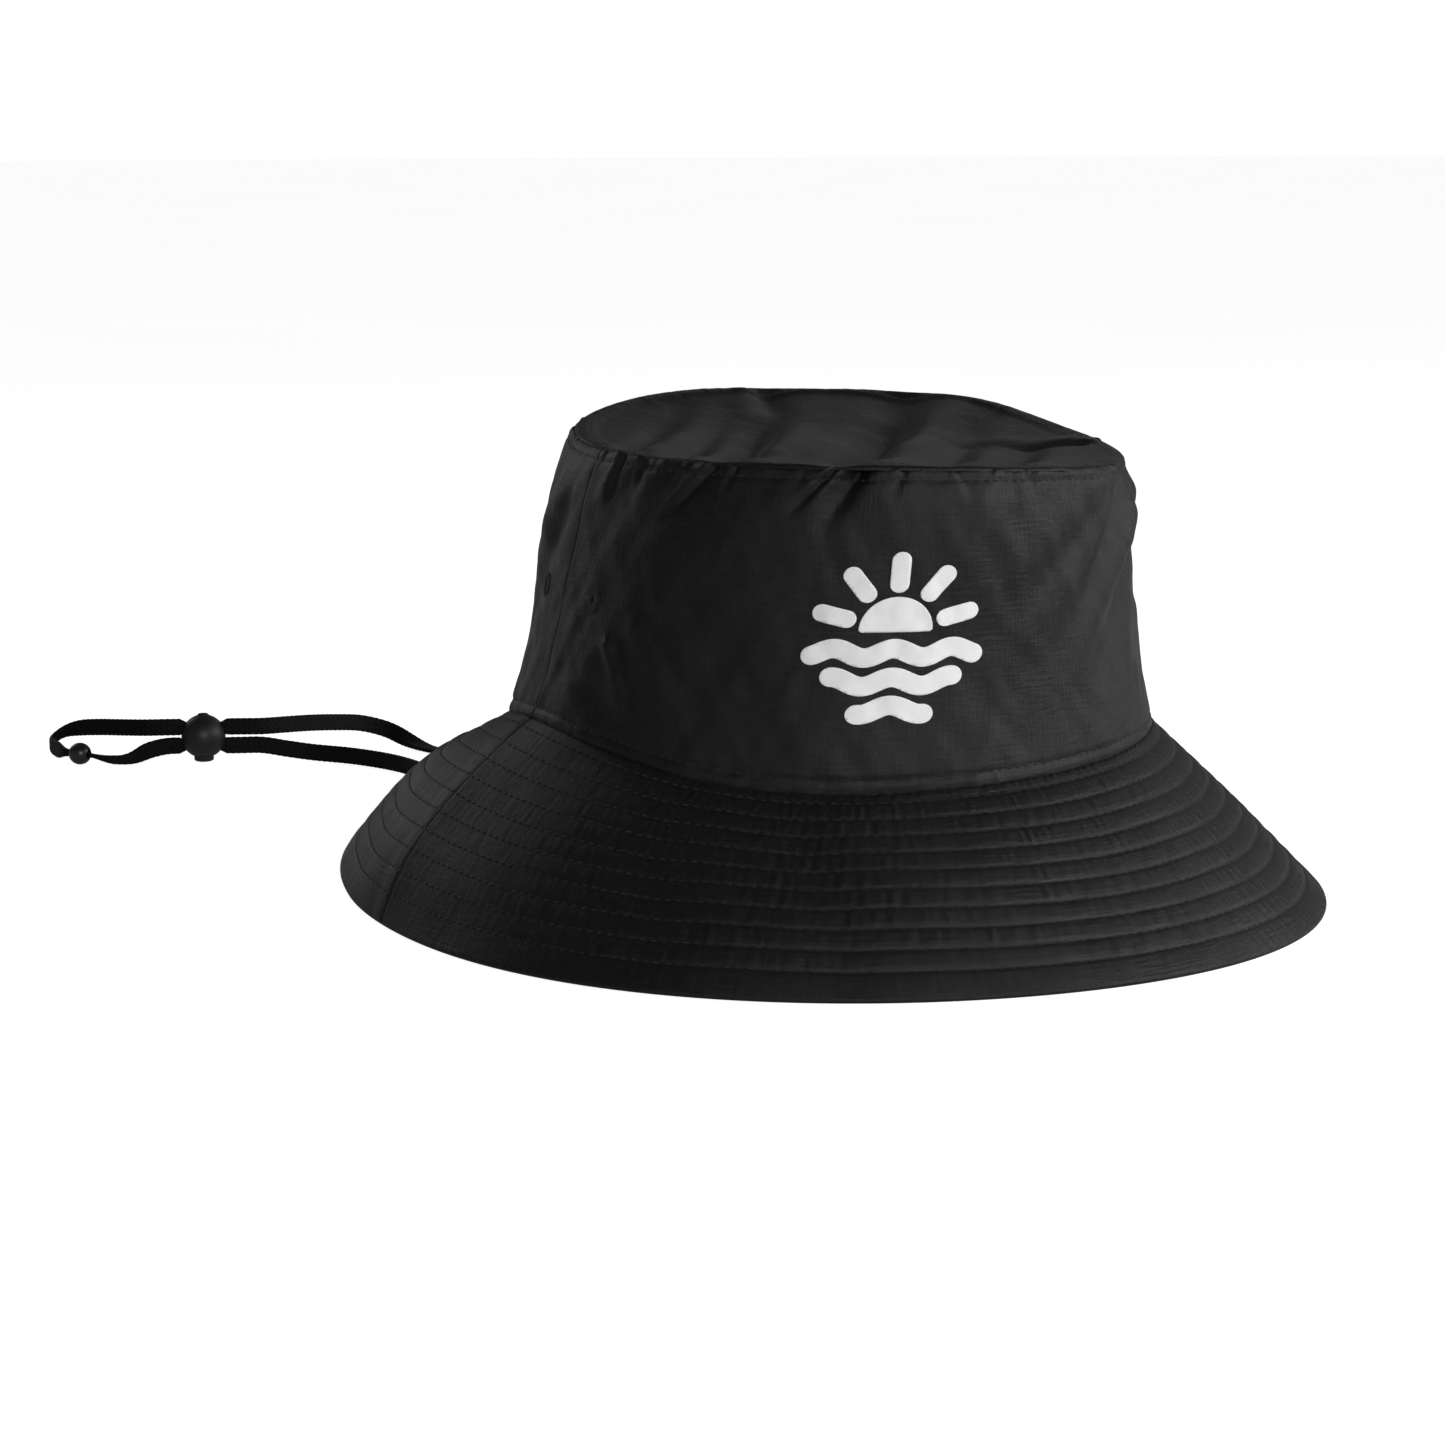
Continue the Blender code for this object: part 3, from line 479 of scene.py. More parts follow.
def tip_base(a, r):
    edge = tip_seam(a)
    x = TIP_X + (edge[..., 0] - TIP_X) * r
    y = TIP_Y + (edge[..., 1] - TIP_Y) * r
    low = TIP_Z - TIP_SINK
    # a stiff seam allowance lies level round the rim, and the cloth sags inside it
    band = np.clip((r - 0.90) / 0.05, 0, 1)
    band = band * band * (3 - 2 * band)
    g = np.clip((r - 0.30) / 0.64, 0, 1) ** 1.8
    z = low + (edge[..., 2] - low) * (0.90 * g + 0.10 * band)
    # keep the slope of the seam's plane across the sagging middle
    lean = (edge[..., 2] - TIP_Z) * np.clip(r, 0, 1)
    z = z + (1 - g) * lean * 0.75
    return np.stack([x, y, z], -1)


def base_normal(face, a, u):
    h = 1e-3
    du = face(a, u + h) - face(a, u - h)
    da = face(a + h, u) - face(a - h, u)
    n = np.cross(du, da)
    return n / np.maximum(np.linalg.norm(n, axis=-1, keepdims=True), 1e-12)


# ------------------------------------------------------------------ how the cloth lies
def field(a, v, seed, ks, ms, rms, count=28):
    """A smooth uneven field, periodic round the hat."""
    rng = np.random.default_rng(seed)
    out = 0 * a
    for _ in range(count):
        k = int(rng.integers(ks[0], ks[1] + 1))
        m, ph = rng.uniform(*ms) * rng.choice((-1, 1)), rng.uniform(0, TAU)
        out = out + np.cos(k * a + m * math.pi * v + ph)
    return out * rms * math.sqrt(2 / count)


def pleats(a, seed, count, rms):
    """Irregular gathers along a seam: small ridges and hollows at uneven spacing."""
    rng = np.random.default_rng(seed)
    out = 0 * a
    for i in range(count):
        mid = TAU * (i + rng.uniform(-0.38, 0.38)) / count
        wide = rng.uniform(0.16, 0.34) * TAU / count
        d = (a - mid + math.pi) % TAU - math.pi
        out = out + rng.normal(0, 1) * np.exp(-(d / wide) ** 2)
    return out * rms


def fold(x, y, p0, p1, width, depth, side=0.0, side_at=1.7):
    """A crease from p0 to p1 on a flat chart, deepest in its first half, with a ridge beside it."""
    d0, d1 = p1[0] - p0[0], p1[1] - p0[1]
    long = math.hypot(d0, d1)
    d0, d1 = d0 / long, d1 / long
    along = ((x - p0[0]) * d0 + (y - p0[1]) * d1) / long
    across = -(x - p0[0]) * d1 + (y - p0[1]) * d0
    inside = np.clip(along, 0, 1)
    env = np.exp(-((along - inside) * long / (1.5 * width)) ** 2) * (1 - 0.75 * inside ** 1.5)
    w = width * (1 + 0.6 * inside)
    return (-depth * env * np.exp(-(across / w) ** 2)
            + side * env * np.exp(-((across - side_at * w) / (1.3 * w)) ** 2))


def crown_chart(a, t, mid_deg):
    d = (a - math.radians(mid_deg) + math.pi) % TAU - math.pi
    return (d + math.radians(mid_deg)) * CROWN_RADIUS, t * CROWN_HEIGHT


def at(deg, t):
    return (math.radians(deg) * CROWN_RADIUS, t * CROWN_HEIGHT)


# (from, to, width, depth, side ridge): creases seen on the crown side
CROWN_FOLDS = (
    (at(244.5, -0.02), at(237.6, 0.165), 0.0028, 0.0034, 0.0012),
    (at(241.0, 0.02), at(236.5, 0.105), 0.0016, 0.0009, -0.0003),
    (at(238.7, 0.005), at(231.0, 0.145), 0.0011, 0.0013, 0.0004),
    (at(214.0, 0.015), at(206.5, 0.190), 0.0014, 0.0011, 0.0004),
    (at(219.0, 0.015), at(217.5, 0.090), 0.0012, 0.0006, 0.0003),
    (at(189.5, 0.020), at(188.0, 0.200), 0.0018, 0.0009, 0.0004),
    (at(196.0, 0.020), at(196.5, 0.110), 0.0012, 0.0005, 0.0003),
    (at(252.0, 0.010), at(250.0, 0.090), 0.0014, 0.0005, 0.0003),
    (at(263.0, 0.010), at(266.0, 0.080), 0.0014, 0.0004, 0.0003),
    (at(281.0, 0.010), at(279.0, 0.110), 0.0016, 0.0005, 0.0004),
    (at(311.0, 0.080), at(287.0, 0.640), 0.0054, 0.0015, 0.0017),
    (at(319.0, 0.240), at(296.0, 0.780), 0.0048, 0.0014, 0.0016),
    (at(303.0, 0.100), at(280.0, 0.420), 0.0046, 0.0009, 0.0010),
    (at(326.0, 0.180), at(310.0, 0.500), 0.0042, 0.0013, 0.0014),
    (at(207.0, 0.540), at(224.0, 0.900), 0.0046, 0.0007, 0.0008),
    (at(199.5, 0.640), at(206.5, 0.800), 0.0022, 0.0005, 0.0011),
    (at(192.0, 0.800), at(204.0, 0.930), 0.0044, 0.0004, 0.0004),
    (at(213.0, 0.450), at(232.0, 0.840), 0.0070, 0.0006, 0.0007),
    (at(172.0, 0.300), at(158.0, 0.700), 0.0060, 0.0012, 0.0010),
    (at(140.0, 0.120), at(150.0, 0.330), 0.0030, 0.0009, 0.0004),
    (at(118.0, 0.140), at(108.0, 0.420), 0.0034, 0.0008, 0.0004),
    (at(84.0, 0.120), at(92.0, 0.300), 0.0022, 0.0008, 0.0003),
    (at(66.0, 0.300), at(88.0, 0.800), 0.0068, 0.0011, 0.0010),
    (at(47.0, 0.120), at(38.0, 0.380), 0.0028, 0.0009, 0.0004),
    (at(22.0, 0.250), at(34.0, 0.760), 0.0060, 0.0012, 0.0011),
    (at(352.0, 0.050), at(344.0, 0.420), 0.0036, 0.0012, 0.0010),
    (at(335.0, 0.520), at(352.0, 0.880), 0.0052, 0.0010, 0.0009),
)
CROWN_ANGLES = tuple((f[0][0] + f[1][0]) / 2 / CROWN_RADIUS * 180 / math.pi for f in CROWN_FOLDS)
TOPSTITCH_T = 1 - 0.0038 / CROWN_HEIGHT     # the row just above the head seam
SEAMSTITCH_T = 0.0024 / CROWN_HEIGHT + 0.012  # the row just under the tip seam


def side_seam(a, wide=0.0006):
    """Distance-based shape of the two side seams: a valley, and the allowance pressed to the back."""
    out = 0 * a
    for mid, back in ((0.0, 1), (math.pi, -1)):
        d = ((a - mid + math.pi) % TAU - math.pi) * CROWN_RADIUS * back
        out = out - 0.00006 * np.exp(-(d / wide) ** 2)
        out = out + 0.00010 / (1 + np.exp(-(d - 0.0008) / 0.0003)) / (1 + np.exp((d - 0.0085) / 0.0006))
    return out


def crown_detail(a, t):
    d = field(a, t, 3, (2, 8), (0.0, 2.2), 0.00050)
    d = d + field(a, t, 5, (14, 40), (2.0, 9.0), 0.00013)
    d = d + field(a, t, 6, (30, 90), (3.0, 16.0), 0.00007, 40)
    mid = np.clip(t, 0, 1)
    d = d * np.clip(mid / 0.10, 0, 1) * np.clip((1 - mid) / 0.06, 0.15, 1)
    # gathers under the tip seam and, fewer, above the head seam
    below = np.maximum(t - 0.01, 0)
    d = d + pleats(a, 10, 230, 0.00020) * np.exp(-below / 0.026)
    d = d + pleats(a + 0.5 * below, 11, 96, 0.00030) * np.exp(-below / 0.050)
    d = d + pleats(a + 0.8 * below, 12, 46, 0.00034) * np.exp(-below / 0.085)
    d = d + pleats(a, 13, 120, 0.00020) * np.exp(-(np.maximum(1 - t, 0) / 0.06) ** 1.4)
    for f, mid_deg in zip(CROWN_FOLDS, CROWN_ANGLES):
        x, y = crown_chart(a, t, mid_deg)
        d = d + fold(x, y, f[0], f[1], f[2] * 0.85, f[3] * 1.4, f[4] * 1.4)
    d = d + side_seam(a)
    q = ((np.degrees(a) % 360) - 186) / 22
    d = d + 0.0011 * np.exp(-q ** 2) * np.exp(-(np.maximum(t, 0) / 0.16) ** 2)
    # rows of stitching pull the cloth in
    for row, deep in ((TOPSTITCH_T, 0.00042), (SEAMSTITCH_T, 0.00030)):
        x = (t - row) * CROWN_HEIGHT
        d = d - deep * np.exp(-(x / 0.0008) ** 2)
    # the cloth turns in at both seams
    top = np.clip((0.022 - t) / 0.020, 0, 1)
    foot = np.clip((t - 0.980) / 0.018, 0, 1)
    return d - 0.00045 * top ** 2 - 0.00035 * foot ** 2


def crown_sag(a, t):
    """How far the crown's folds push the linings in."""
    return np.maximum(0.0, -crown_detail(a, np.minimum(t, 0.97)) - 0.0002)


def crown_cloth(a, t):
    return crown_base(a, t) + base_normal(crown_base, a, t) * crown_detail(a, t)[..., None]


ROW_FIRST, ROW_STEP, ROWS = 0.0031, 0.0066, 10


def row_share(k):
    return (ROW_FIRST + ROW_STEP * k) / 0.0705


def brim_detail(a, s, under=False):
    x = (s * 0.0705 - ROW_FIRST) / ROW_STEP         # whole numbers lie on the rows
    gap = np.clip(np.floor(x), -1, ROWS - 1)
    share = np.clip(x - gap, 0, 1.4)
    puff = np.sin(np.pi * np.clip(share, 0, 1))
    puff = np.where(x > ROWS - 1, np.sin(np.pi * np.clip((x - ROWS + 1) / 1.27, 0, 1)), puff)
    near = np.abs(x - np.round(x)) * ROW_STEP
    on_row = (x > -0.5) & (x < ROWS - 0.5)
    deg = np.degrees(a) % 360
    calm = np.clip((np.abs(((deg - 184) + 180) % 360 - 180) - 12) / 22, 0.12, 1)
    if under:
        calm = np.ones_like(calm)
    d = 0.00016 * calm * puff
    d = d - 0.00034 * calm * np.exp(-(near / 0.00055) ** 2) * on_row
    # small creases across each channel, different in every channel
    for k in range(-1, ROWS):
        here = (gap == k)
        if here.any():
            lines = (field(a, s, 100 + k + (50 if under else 0), (90, 290), (0.0, 1.5), 0.00008, 26)
                     + pleats(a + 0.02 * s, 300 + k + (50 if under else 0), 190, 0.00007))
            last = 0.5 if k == ROWS - 1 else 1.0
            d = d + np.where(here, last * lines * puff * (0.25 + 0.75 * calm), 0)
    # side seams run out across the brim
    for mid, back in ((0.0, 1), (math.pi, -1)):
        q = ((a - mid + math.pi) % TAU - math.pi) * (0.098 + 0.045 * s) * back
        d = d - 0.00015 * np.exp(-(q / 0.0006) ** 2)
        d = d + 0.00040 / (1 + np.exp(-(q - 0.0010) / 0.0005)) / (1 + np.exp((q - 0.0075) / 0.0010))
    return d


def brim_waves(a, s):
    """Broad soft waves that every layer of the brim shares."""
    deg = np.degrees(a) % 360
    held = np.sin(np.pi * np.clip(s, 0, 1))
    d = field(a, s, 7, (2, 7), (0.0, 1.6), 0.00045) * held
    for mid_deg, wide, high in ((222, 4, -0.0007), (230, 6, 0.0009), (243, 4, -0.0008), (252, 6, 0.0005),
                                (168, 5, 0.0005), (154, 6, -0.0008), (300, 9, 0.0007), (318, 6, -0.0006)):
        q = ((deg - mid_deg - 10 * (s - 0.5)) + 180) % 360 - 180
        d = d + high * np.exp(-(q / wide) ** 2) * held ** 0.7
    # the front panel is dished in beside the right-hand side seam
    q = np.maximum((a - math.pi + math.pi) % TAU - math.pi, 0) * 0.14 / 0.035
    d = d - 0.0028 * q * np.exp(1 - q) * held ** 0.8
    return d


def brim_shape(a, s):
    return brim_base(a, s) + base_normal(brim_base, a, s) * brim_waves(a, s)[..., None]


def brim_cloth(a, s):
    d = brim_waves(a, s) + brim_detail(a, s)
    return brim_base(a, s) + base_normal(brim_base, a, s) * d[..., None]


def brim_lining(a, s):
    """The under-brim's outward (lower) face."""
    nb = base_normal(brim_base, a, s)
    thick_here = 2 * RIM_R + 0.0007 * smooth01((1 - s) / 0.12)
    return brim_base(a, s) - nb * (thick_here - brim_waves(a, s) + brim_detail(a, s, True))[..., None]


def tip_detail(x, y, a, r):
    """Creases of the tip, on its plan."""
    d = 0 * x
    edge = np.clip((1 - r) / 0.5, 0, 1)
    for p0, p1, w, deep, side in TIP_FOLDS:
        # the side ridge lies on the folds' right
        d = d + fold(x, y, p0, p1, w * 0.8, deep * 1.2, side * 1.5, -1.7)
    d = d * np.clip((1 - r) / 0.05, 0.25, 1)
    waves = (np.sin(61 * x - 23 * y + 0.4) * 0.4 + np.sin(35 * x + 52 * y + 1.9) * 0.5
             + np.sin(-88 * x + 41 * y + 4.0) * 0.25)
    d = d + 0.0011 * waves * edge
    d = d + pleats(a, 20, 200, 0.00018) * np.exp(-((1 - r) / 0.035) ** 1.3) * np.clip((1 - r) / 0.02, 0.2, 1)
    d = d + pleats(a, 21, 80, 0.00034) * np.exp(-((1 - r) / 0.08) ** 1.3) * np.clip((1 - r) / 0.03, 0.1, 1)
    # nothing stands above the seam's rim
    top = 0.0002 + 0.0110 * np.clip(0.97 - r, 0, 1)
    return np.where(d > top, top + 0.15 * (d - top), d)


TIP_FOLDS = (
    ((-0.0340, -0.0800), (0.0340, 0.0320), 0.0070, 0.0052, 0.0014),
    ((-0.0020, -0.0250), (0.0700, 0.0860), 0.0078, 0.0040, 0.0012),
    ((-0.0560, -0.0520), (0.0000, 0.0540), 0.0060, 0.0036, 0.0012),
    ((-0.0330, -0.0100), (0.0190, 0.0840), 0.0058, 0.0030, 0.0010),
    ((-0.0620, -0.0320), (-0.0040, 0.0680), 0.0048, 0.0030, 0.0012),
    ((-0.0640, 0.0000), (-0.0160, 0.0740), 0.0040, 0.0024, 0.0010),
    ((-0.0060, -0.0860), (0.0560, 0.0200), 0.0052, 0.0030, 0.0010),
    ((0.0160, -0.0840), (0.0600, -0.0120), 0.0044, 0.0026, 0.0010),
    ((0.0700, -0.0250), (0.0340, 0.0000), 0.0040, 0.0010, 0.0006),
    ((0.0160, 0.0850), (0.0080, 0.0480), 0.0046, 0.0010, 0.0006),
)


def tip_cloth(a, r):
    p = tip_base(a, np.minimum(r, 1.0))
    d = tip_detail(p[..., 0] , p[..., 1], a, r)
    inner = np.clip((0.945 - r) / 0.018, 0, 1)
    inner = inner * inner * (3 - 2 * inner)
    # the allowance stands a little proud and the cloth turns down at the seam
    z = p[..., 2] + d * np.clip((1.0 - r) / 0.03, 0, 1) + 0.0002 * (1 - inner)
    w = np.clip((r - 0.986) / 0.014, 0, 1)
    z = z - 0.0011 * w ** 2
    row = np.exp(-((r - 0.948) * 0.084 / 0.0008) ** 2)
    z = z - 0.00028 * row
    out = head_out(a) * (0.0004 * w)[..., None]
    return np.stack([p[..., 0] + out[..., 0], p[..., 1] + out[..., 1], z], -1)


# ------------------------------------------------------------------ meshes
def build(name, verts, quads, material, uvs=None, tris=None, body="root", smooth=True):
    me = bpy.data.meshes.new(name)
    verts = np.asarray(verts, np.float64) - MID
    faces = [np.asarray(quads, np.int32).reshape(-1, 4)]
    loops = [faces[0].ravel()]
    sizes = [np.full(len(faces[0]), 4, np.int32)]
    if tris is not None and len(tris):
        t = np.asarray(tris, np.int32).reshape(-1, 3)
        loops.append(t.ravel())
        sizes.append(np.full(len(t), 3, np.int32))
    loops, sizes = np.concatenate(loops), np.concatenate(sizes)
    me.vertices.add(len(verts))
    me.vertices.foreach_set("co", verts.astype(np.float32).ravel())
    me.loops.add(len(loops))
    me.loops.foreach_set("vertex_index", loops)
    me.polygons.add(len(sizes))
    me.polygons.foreach_set("loop_start", np.concatenate([[0], np.cumsum(sizes)[:-1]]).astype(np.int32))
    me.update(calc_edges=True)
    me.validate()
    if uvs is not None:
        layer = me.uv_layers.new(name="cloth")
        n = np.zeros(len(me.loops), np.int32)
        me.loops.foreach_get("vertex_index", n)
        layer.data.foreach_set("uv", np.asarray(uvs, np.float32)[n].ravel())
    if smooth:
        me.shade_smooth()
    me.materials.append(material)
    ob = bpy.data.objects.new(name, me)
    bpy.context.scene.collection.objects.link(ob)
    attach(ob, body)
    return ob


def grid_normals(p, closed):
    q = np.concatenate([p[:, -1:], p, p[:, :1]], 1) if closed else p
    dr = np.gradient(p, axis=0)
    dc = np.gradient(q, axis=1)
    if closed:
        dc = dc[:, 1:-1]
    n = np.cross(dr, dc)
    return n / np.maximum(np.linalg.norm(n, axis=-1, keepdims=True), 1e-12)


def grid_quads(rows, cols, closed):
    i, j = np.meshgrid(np.arange(rows - 1), np.arange(cols if closed else cols - 1), indexing="ij")
    k = (j + 1) % cols
    return np.stack([i * cols + j, (i + 1) * cols + j, (i + 1) * cols + k, i * cols + k], -1).reshape(-1, 4)


def thicken(verts, normals, quads, thick, uvs, tris=None):
    """A closed shell from an open sheet: its back lies thick behind its face."""
    n = len(verts)
    back = verts - normals * thick
    faces = [quads] if tris is None or not len(tris) else [quads, tris]
    edges = np.concatenate([np.stack([f[:, i], f[:, (i + 1) % f.shape[1]]], 1)
                            for f in faces for i in range(f.shape[1])])
    key = np.sort(edges, 1)
    _, first, count = np.unique(key[:, 0].astype(np.int64) * n + key[:, 1], return_index=True, return_counts=True)
    rim = edges[first[count == 1]]
    walls = np.stack([rim[:, 1], rim[:, 0], rim[:, 0] + n, rim[:, 1] + n], 1)
    all_quads = np.concatenate([quads, quads[:, ::-1] + n, walls])
    all_tris = None if tris is None or not len(tris) else np.concatenate([tris, tris[:, ::-1] + n])
    return np.concatenate([verts, back]), all_quads, np.concatenate([uvs, uvs]), all_tris


def cloth_grid(name, p, uv, thick, closed, material, replaces=(), holes=(), body="root"):
    """A cloth piece from a grid of points; holes are (centre, radius)."""
    rows, cols = p.shape[:2]
    n = grid_normals(p, closed).reshape(-1, 3)
    v = p.reshape(-1, 3).copy()
    q = grid_quads(rows, cols, closed)
    for centre, radius in holes:
        away = v - centre
        far = np.linalg.norm(away, axis=1)
        keep = ~(far[q] < radius).any(1)
        q = q[keep]
        # faces that touched the hole are gone; draw the ragged edge in to the hole's circle
        edges = np.concatenate([np.stack([q[:, i], q[:, (i + 1) % 4]], 1) for i in range(4)])
        key = np.sort(edges, 1)
        uniq, count = np.unique(key, axis=0, return_counts=True)
        rim = np.unique(uniq[count == 1])
        rim = rim[far[rim] < radius + 0.004]
        normal = n[far.argmin()]
        flat = away[rim] - (away[rim] @ normal)[:, None] * normal
        size = np.linalg.norm(flat, axis=1)[:, None]
        v[rim] += flat * (radius / size - 1)
    v, q, uvs, _ = thicken(v, n, q, thick, uv.reshape(-1, 2))
    used = np.unique(q)
    remap = np.full(len(v), -1)
    remap[used] = np.arange(len(used))
    ob = build(name, v[used], remap[q], material, uvs[used], body=body)
    if replaces:
        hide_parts(*replaces)
    return ob


def grid(rows, cols_from, cols_to, cols, closed=False):
    a = np.linspace(cols_from, cols_to, cols, endpoint=not closed)
    return np.meshgrid(a, rows)


def cloth_uv(p, a, u):
    """Texture coordinates in metres along the cloth."""
    return np.stack([a * CROWN_RADIUS, u], -1)


# stitches: short pulled-in lengths of thread
def stitch_mesh(name, rows, long, wide, high, material, sink=0.00010):
    """rows: list of (centres, directions, normals); one raised stitch at each centre."""
    c = np.concatenate([r[0] for r in rows])
    d = np.concatenate([r[1] for r in rows])
    n = np.concatenate([r[2] for r in rows])
    d = d / np.linalg.norm(d, axis=1, keepdims=True)
    n = n - (n * d).sum(1, keepdims=True) * d
    n = n / np.linalg.norm(n, axis=1, keepdims=True)
    b = np.cross(n, d)
    stations = ((-0.5, 0.35, -1.6), (-0.36, 0.85, -0.35), (0.0, 1.0, 0.15), (0.36, 0.85, -0.35), (0.5, 0.35, -1.6))
    ring_n = 6
    pts = []
    for x, size, lift in stations:
        for k in range(ring_n):
            ang = TAU * k / ring_n
            pts.append(c + d * (x * long) + b * (math.cos(ang) * wide / 2 * size)
                       + n * (math.sin(ang) * high / 2 * size + lift * high / 2 + high / 2 - sink))
    pts = np.stack(pts, 1)                       # (stitches, 30, 3)
    per = pts.shape[1]
    quads = []
    for s in range(len(stations) - 1):
        for k in range(ring_n):
            m = (k + 1) % ring_n
            quads.append((s * ring_n + k, s * ring_n + m, (s + 1) * ring_n + m, (s + 1) * ring_n + k))
    last = (len(stations) - 1) * ring_n
    quads += [(3, 2, 1, 0), (5, 4, 3, 0), (last, last + 1, last + 2, last + 3), (last, last + 3, last + 4, last + 5)]
    quads = np.array(quads)[:, ::-1]
    q = (quads[None] + (np.arange(len(pts)) * per)[:, None, None]).reshape(-1, 4)
    ob = build(name, pts.reshape(-1, 3), q, material)
    return ob


def stitch_row(face, share, pitch, start=0.0, end=TAU, offset=0.0, phase=0.5):
    """Even stitches along a row of constant share on a surface function."""
    a = np.linspace(start, end, 2400)
    p = face(a, np.full_like(a, share))
    run = np.concatenate([[0], np.cumsum(np.linalg.norm(np.diff(p, axis=0), axis=1))])
    count = max(2, int(run[-1] / pitch))
    want = (np.arange(count) + phase) * run[-1] / count
    aa = np.interp(want, run, a)
    ss = np.full_like(aa, share)
    c = face(aa, ss)
    h = 0.004
    d = face(aa + h, ss) - face(aa - h, ss)
    e = face(aa, ss + 0.004) - face(aa, ss - 0.004)
    n = np.cross(e, d)
    n = n / np.linalg.norm(n, axis=1, keepdims=True)
    return c + n * offset, d, n


FINE = 1.0

# ------------------------------------------------------------------ chin cord (first)
LOCK_DIR = np.array((math.cos(math.radians(LOCK_YAW)), math.sin(math.radians(LOCK_YAW)), 0.0))


def at_lock(mm, up):
    return tuple(LOCK + np.array((0, 0, up)) + LOCK_DIR * (mm * 0.001))


def at_bead(mm):
    d = np.array((math.cos(math.radians(BEAD_YAW)), math.sin(math.radians(BEAD_YAW)), 0))
    return tuple(BEAD + d * (mm * 0.001))


def tab_foot(side):
    seam = head_seam(np.array(0.0 if side > 0 else math.pi))
    return np.array((seam[0] - side * TAB_DEPTH, 0.0, seam[2] - TAB_DROP))


LEFT_FOOT, RIGHT_FOOT = tab_foot(1), tab_foot(-1)
UP, DOWN, GAP = STRAND_OFFSET, -STRAND_OFFSET, 0.0003
ROUTE = [
    (LEFT_FOOT[0], 0.0, LEFT_FOOT[2] - GAP), (LEFT_FOOT[0], 0.0, LEFT_FOOT[2] - 0.006),
    (0.0882, 0.002, 0.029), (0.0865, 0.007, 0.018), (0.0820, 0.016, 0.0085), (0.0720, 0.029, 0.0040),
    (0.0570, 0.045, 0.0031), (0.0370, 0.066, 0.0031), (0.0160, 0.090, 0.0031), (-0.0040, 0.116, 0.0031),
    (-0.0200, 0.145, 0.0031), (-0.0258, 0.176, 0.0031), (-0.0272, 0.207, 0.0031), (-0.0262, 0.236, 0.0024),
    (-0.0284, 0.2580, 0.0016), (-0.0341, 0.2711, 0.0016), (-0.0392, 0.2828, 0.0036), (-0.0450, 0.2925, 0.0064),
    (-0.0530, 0.2950, 0.0086), (-0.0640, 0.2915, 0.0102), (-0.0750, 0.2865, 0.0115), (-0.0860, 0.2815, 0.0124),
    at_lock(21, UP), at_lock(14, UP), at_lock(7, UP), at_lock(0, UP), at_lock(-6.5, UP), at_lock(-13, UP),
    (-0.1330, 0.2950, 0.0124), (-0.1395, 0.3030, 0.0117), (-0.1460, 0.3135, 0.0107), (-0.1516, 0.3222, 0.0094),
    (-0.1560, 0.3268, 0.0076), (-0.1598, 0.3258, 0.0056), (-0.1622, 0.3200, 0.0043), (-0.1620, 0.3120, 0.0040),
    at_bead(-6), at_bead(0), at_bead(6),
    (-0.1480, 0.2912, 0.0036), (-0.1405, 0.2905, 0.0034), (-0.1335, 0.2928, 0.0046),
    at_lock(-13, DOWN), at_lock(-6.5, DOWN), at_lock(0, DOWN), at_lock(7, DOWN), at_lock(14, DOWN), at_lock(21, DOWN),
    (-0.0880, 0.2765, 0.0047), (-0.0795, 0.2720, 0.0036), (-0.0710, 0.2640, 0.0031), (-0.0640, 0.2530, 0.0031),
    (-0.0585, 0.2400, 0.0031), (-0.0555, 0.2260, 0.0031), (-0.0540, 0.2030, 0.0031), (-0.0545, 0.1760, 0.0031),
    (-0.0560, 0.1460, 0.0031), (-0.0590, 0.1160, 0.0031), (-0.0650, 0.0860, 0.0031), (-0.0720, 0.0580, 0.0031),
    (-0.0790, 0.0360, 0.0040), (-0.0850, 0.0190, 0.0090), (-0.0875, 0.0085, 0.0190), (-0.0885, 0.0025, 0.0340),
    (RIGHT_FOOT[0], 0.0, RIGHT_FOOT[2] - 0.006), (RIGHT_FOOT[0], 0.0, RIGHT_FOOT[2] - GAP),
]


def smooth_route(points, samples):
    pts = [np.array(p, float) for p in points]
    pts = [2 * pts[0] - pts[1]] + pts + [2 * pts[-1] - pts[-2]]
    dense = []
    for i in range(1, len(pts) - 2):
        p0, p1, p2, p3 = pts[i - 1:i + 3]
        t0 = 0.0
        t1 = t0 + np.linalg.norm(p1 - p0) ** 0.5
        t2 = t1 + np.linalg.norm(p2 - p1) ** 0.5
        t3 = t2 + np.linalg.norm(p3 - p2) ** 0.5
        for k in range(16):
            t = t1 + (t2 - t1) * k / 16
            a1 = (t1 - t) / (t1 - t0) * p0 + (t - t0) / (t1 - t0) * p1
            a2 = (t2 - t) / (t2 - t1) * p1 + (t - t1) / (t2 - t1) * p2
            a3 = (t3 - t) / (t3 - t2) * p2 + (t - t2) / (t3 - t2) * p3
            b1 = (t2 - t) / (t2 - t0) * a1 + (t - t0) / (t2 - t0) * a2
            b2 = (t3 - t) / (t3 - t1) * a2 + (t - t1) / (t3 - t1) * a3
            dense.append((t2 - t) / (t2 - t1) * b1 + (t - t1) / (t2 - t1) * b2)
    dense.append(pts[-2])
    dense = np.array(dense)
    run = np.concatenate([[0], np.cumsum(np.linalg.norm(np.diff(dense, axis=0), axis=1))])
    want = np.linspace(0, run[-1], samples)
    return np.stack([np.interp(want, run, dense[:, k]) for k in range(3)], 1), run[-1]


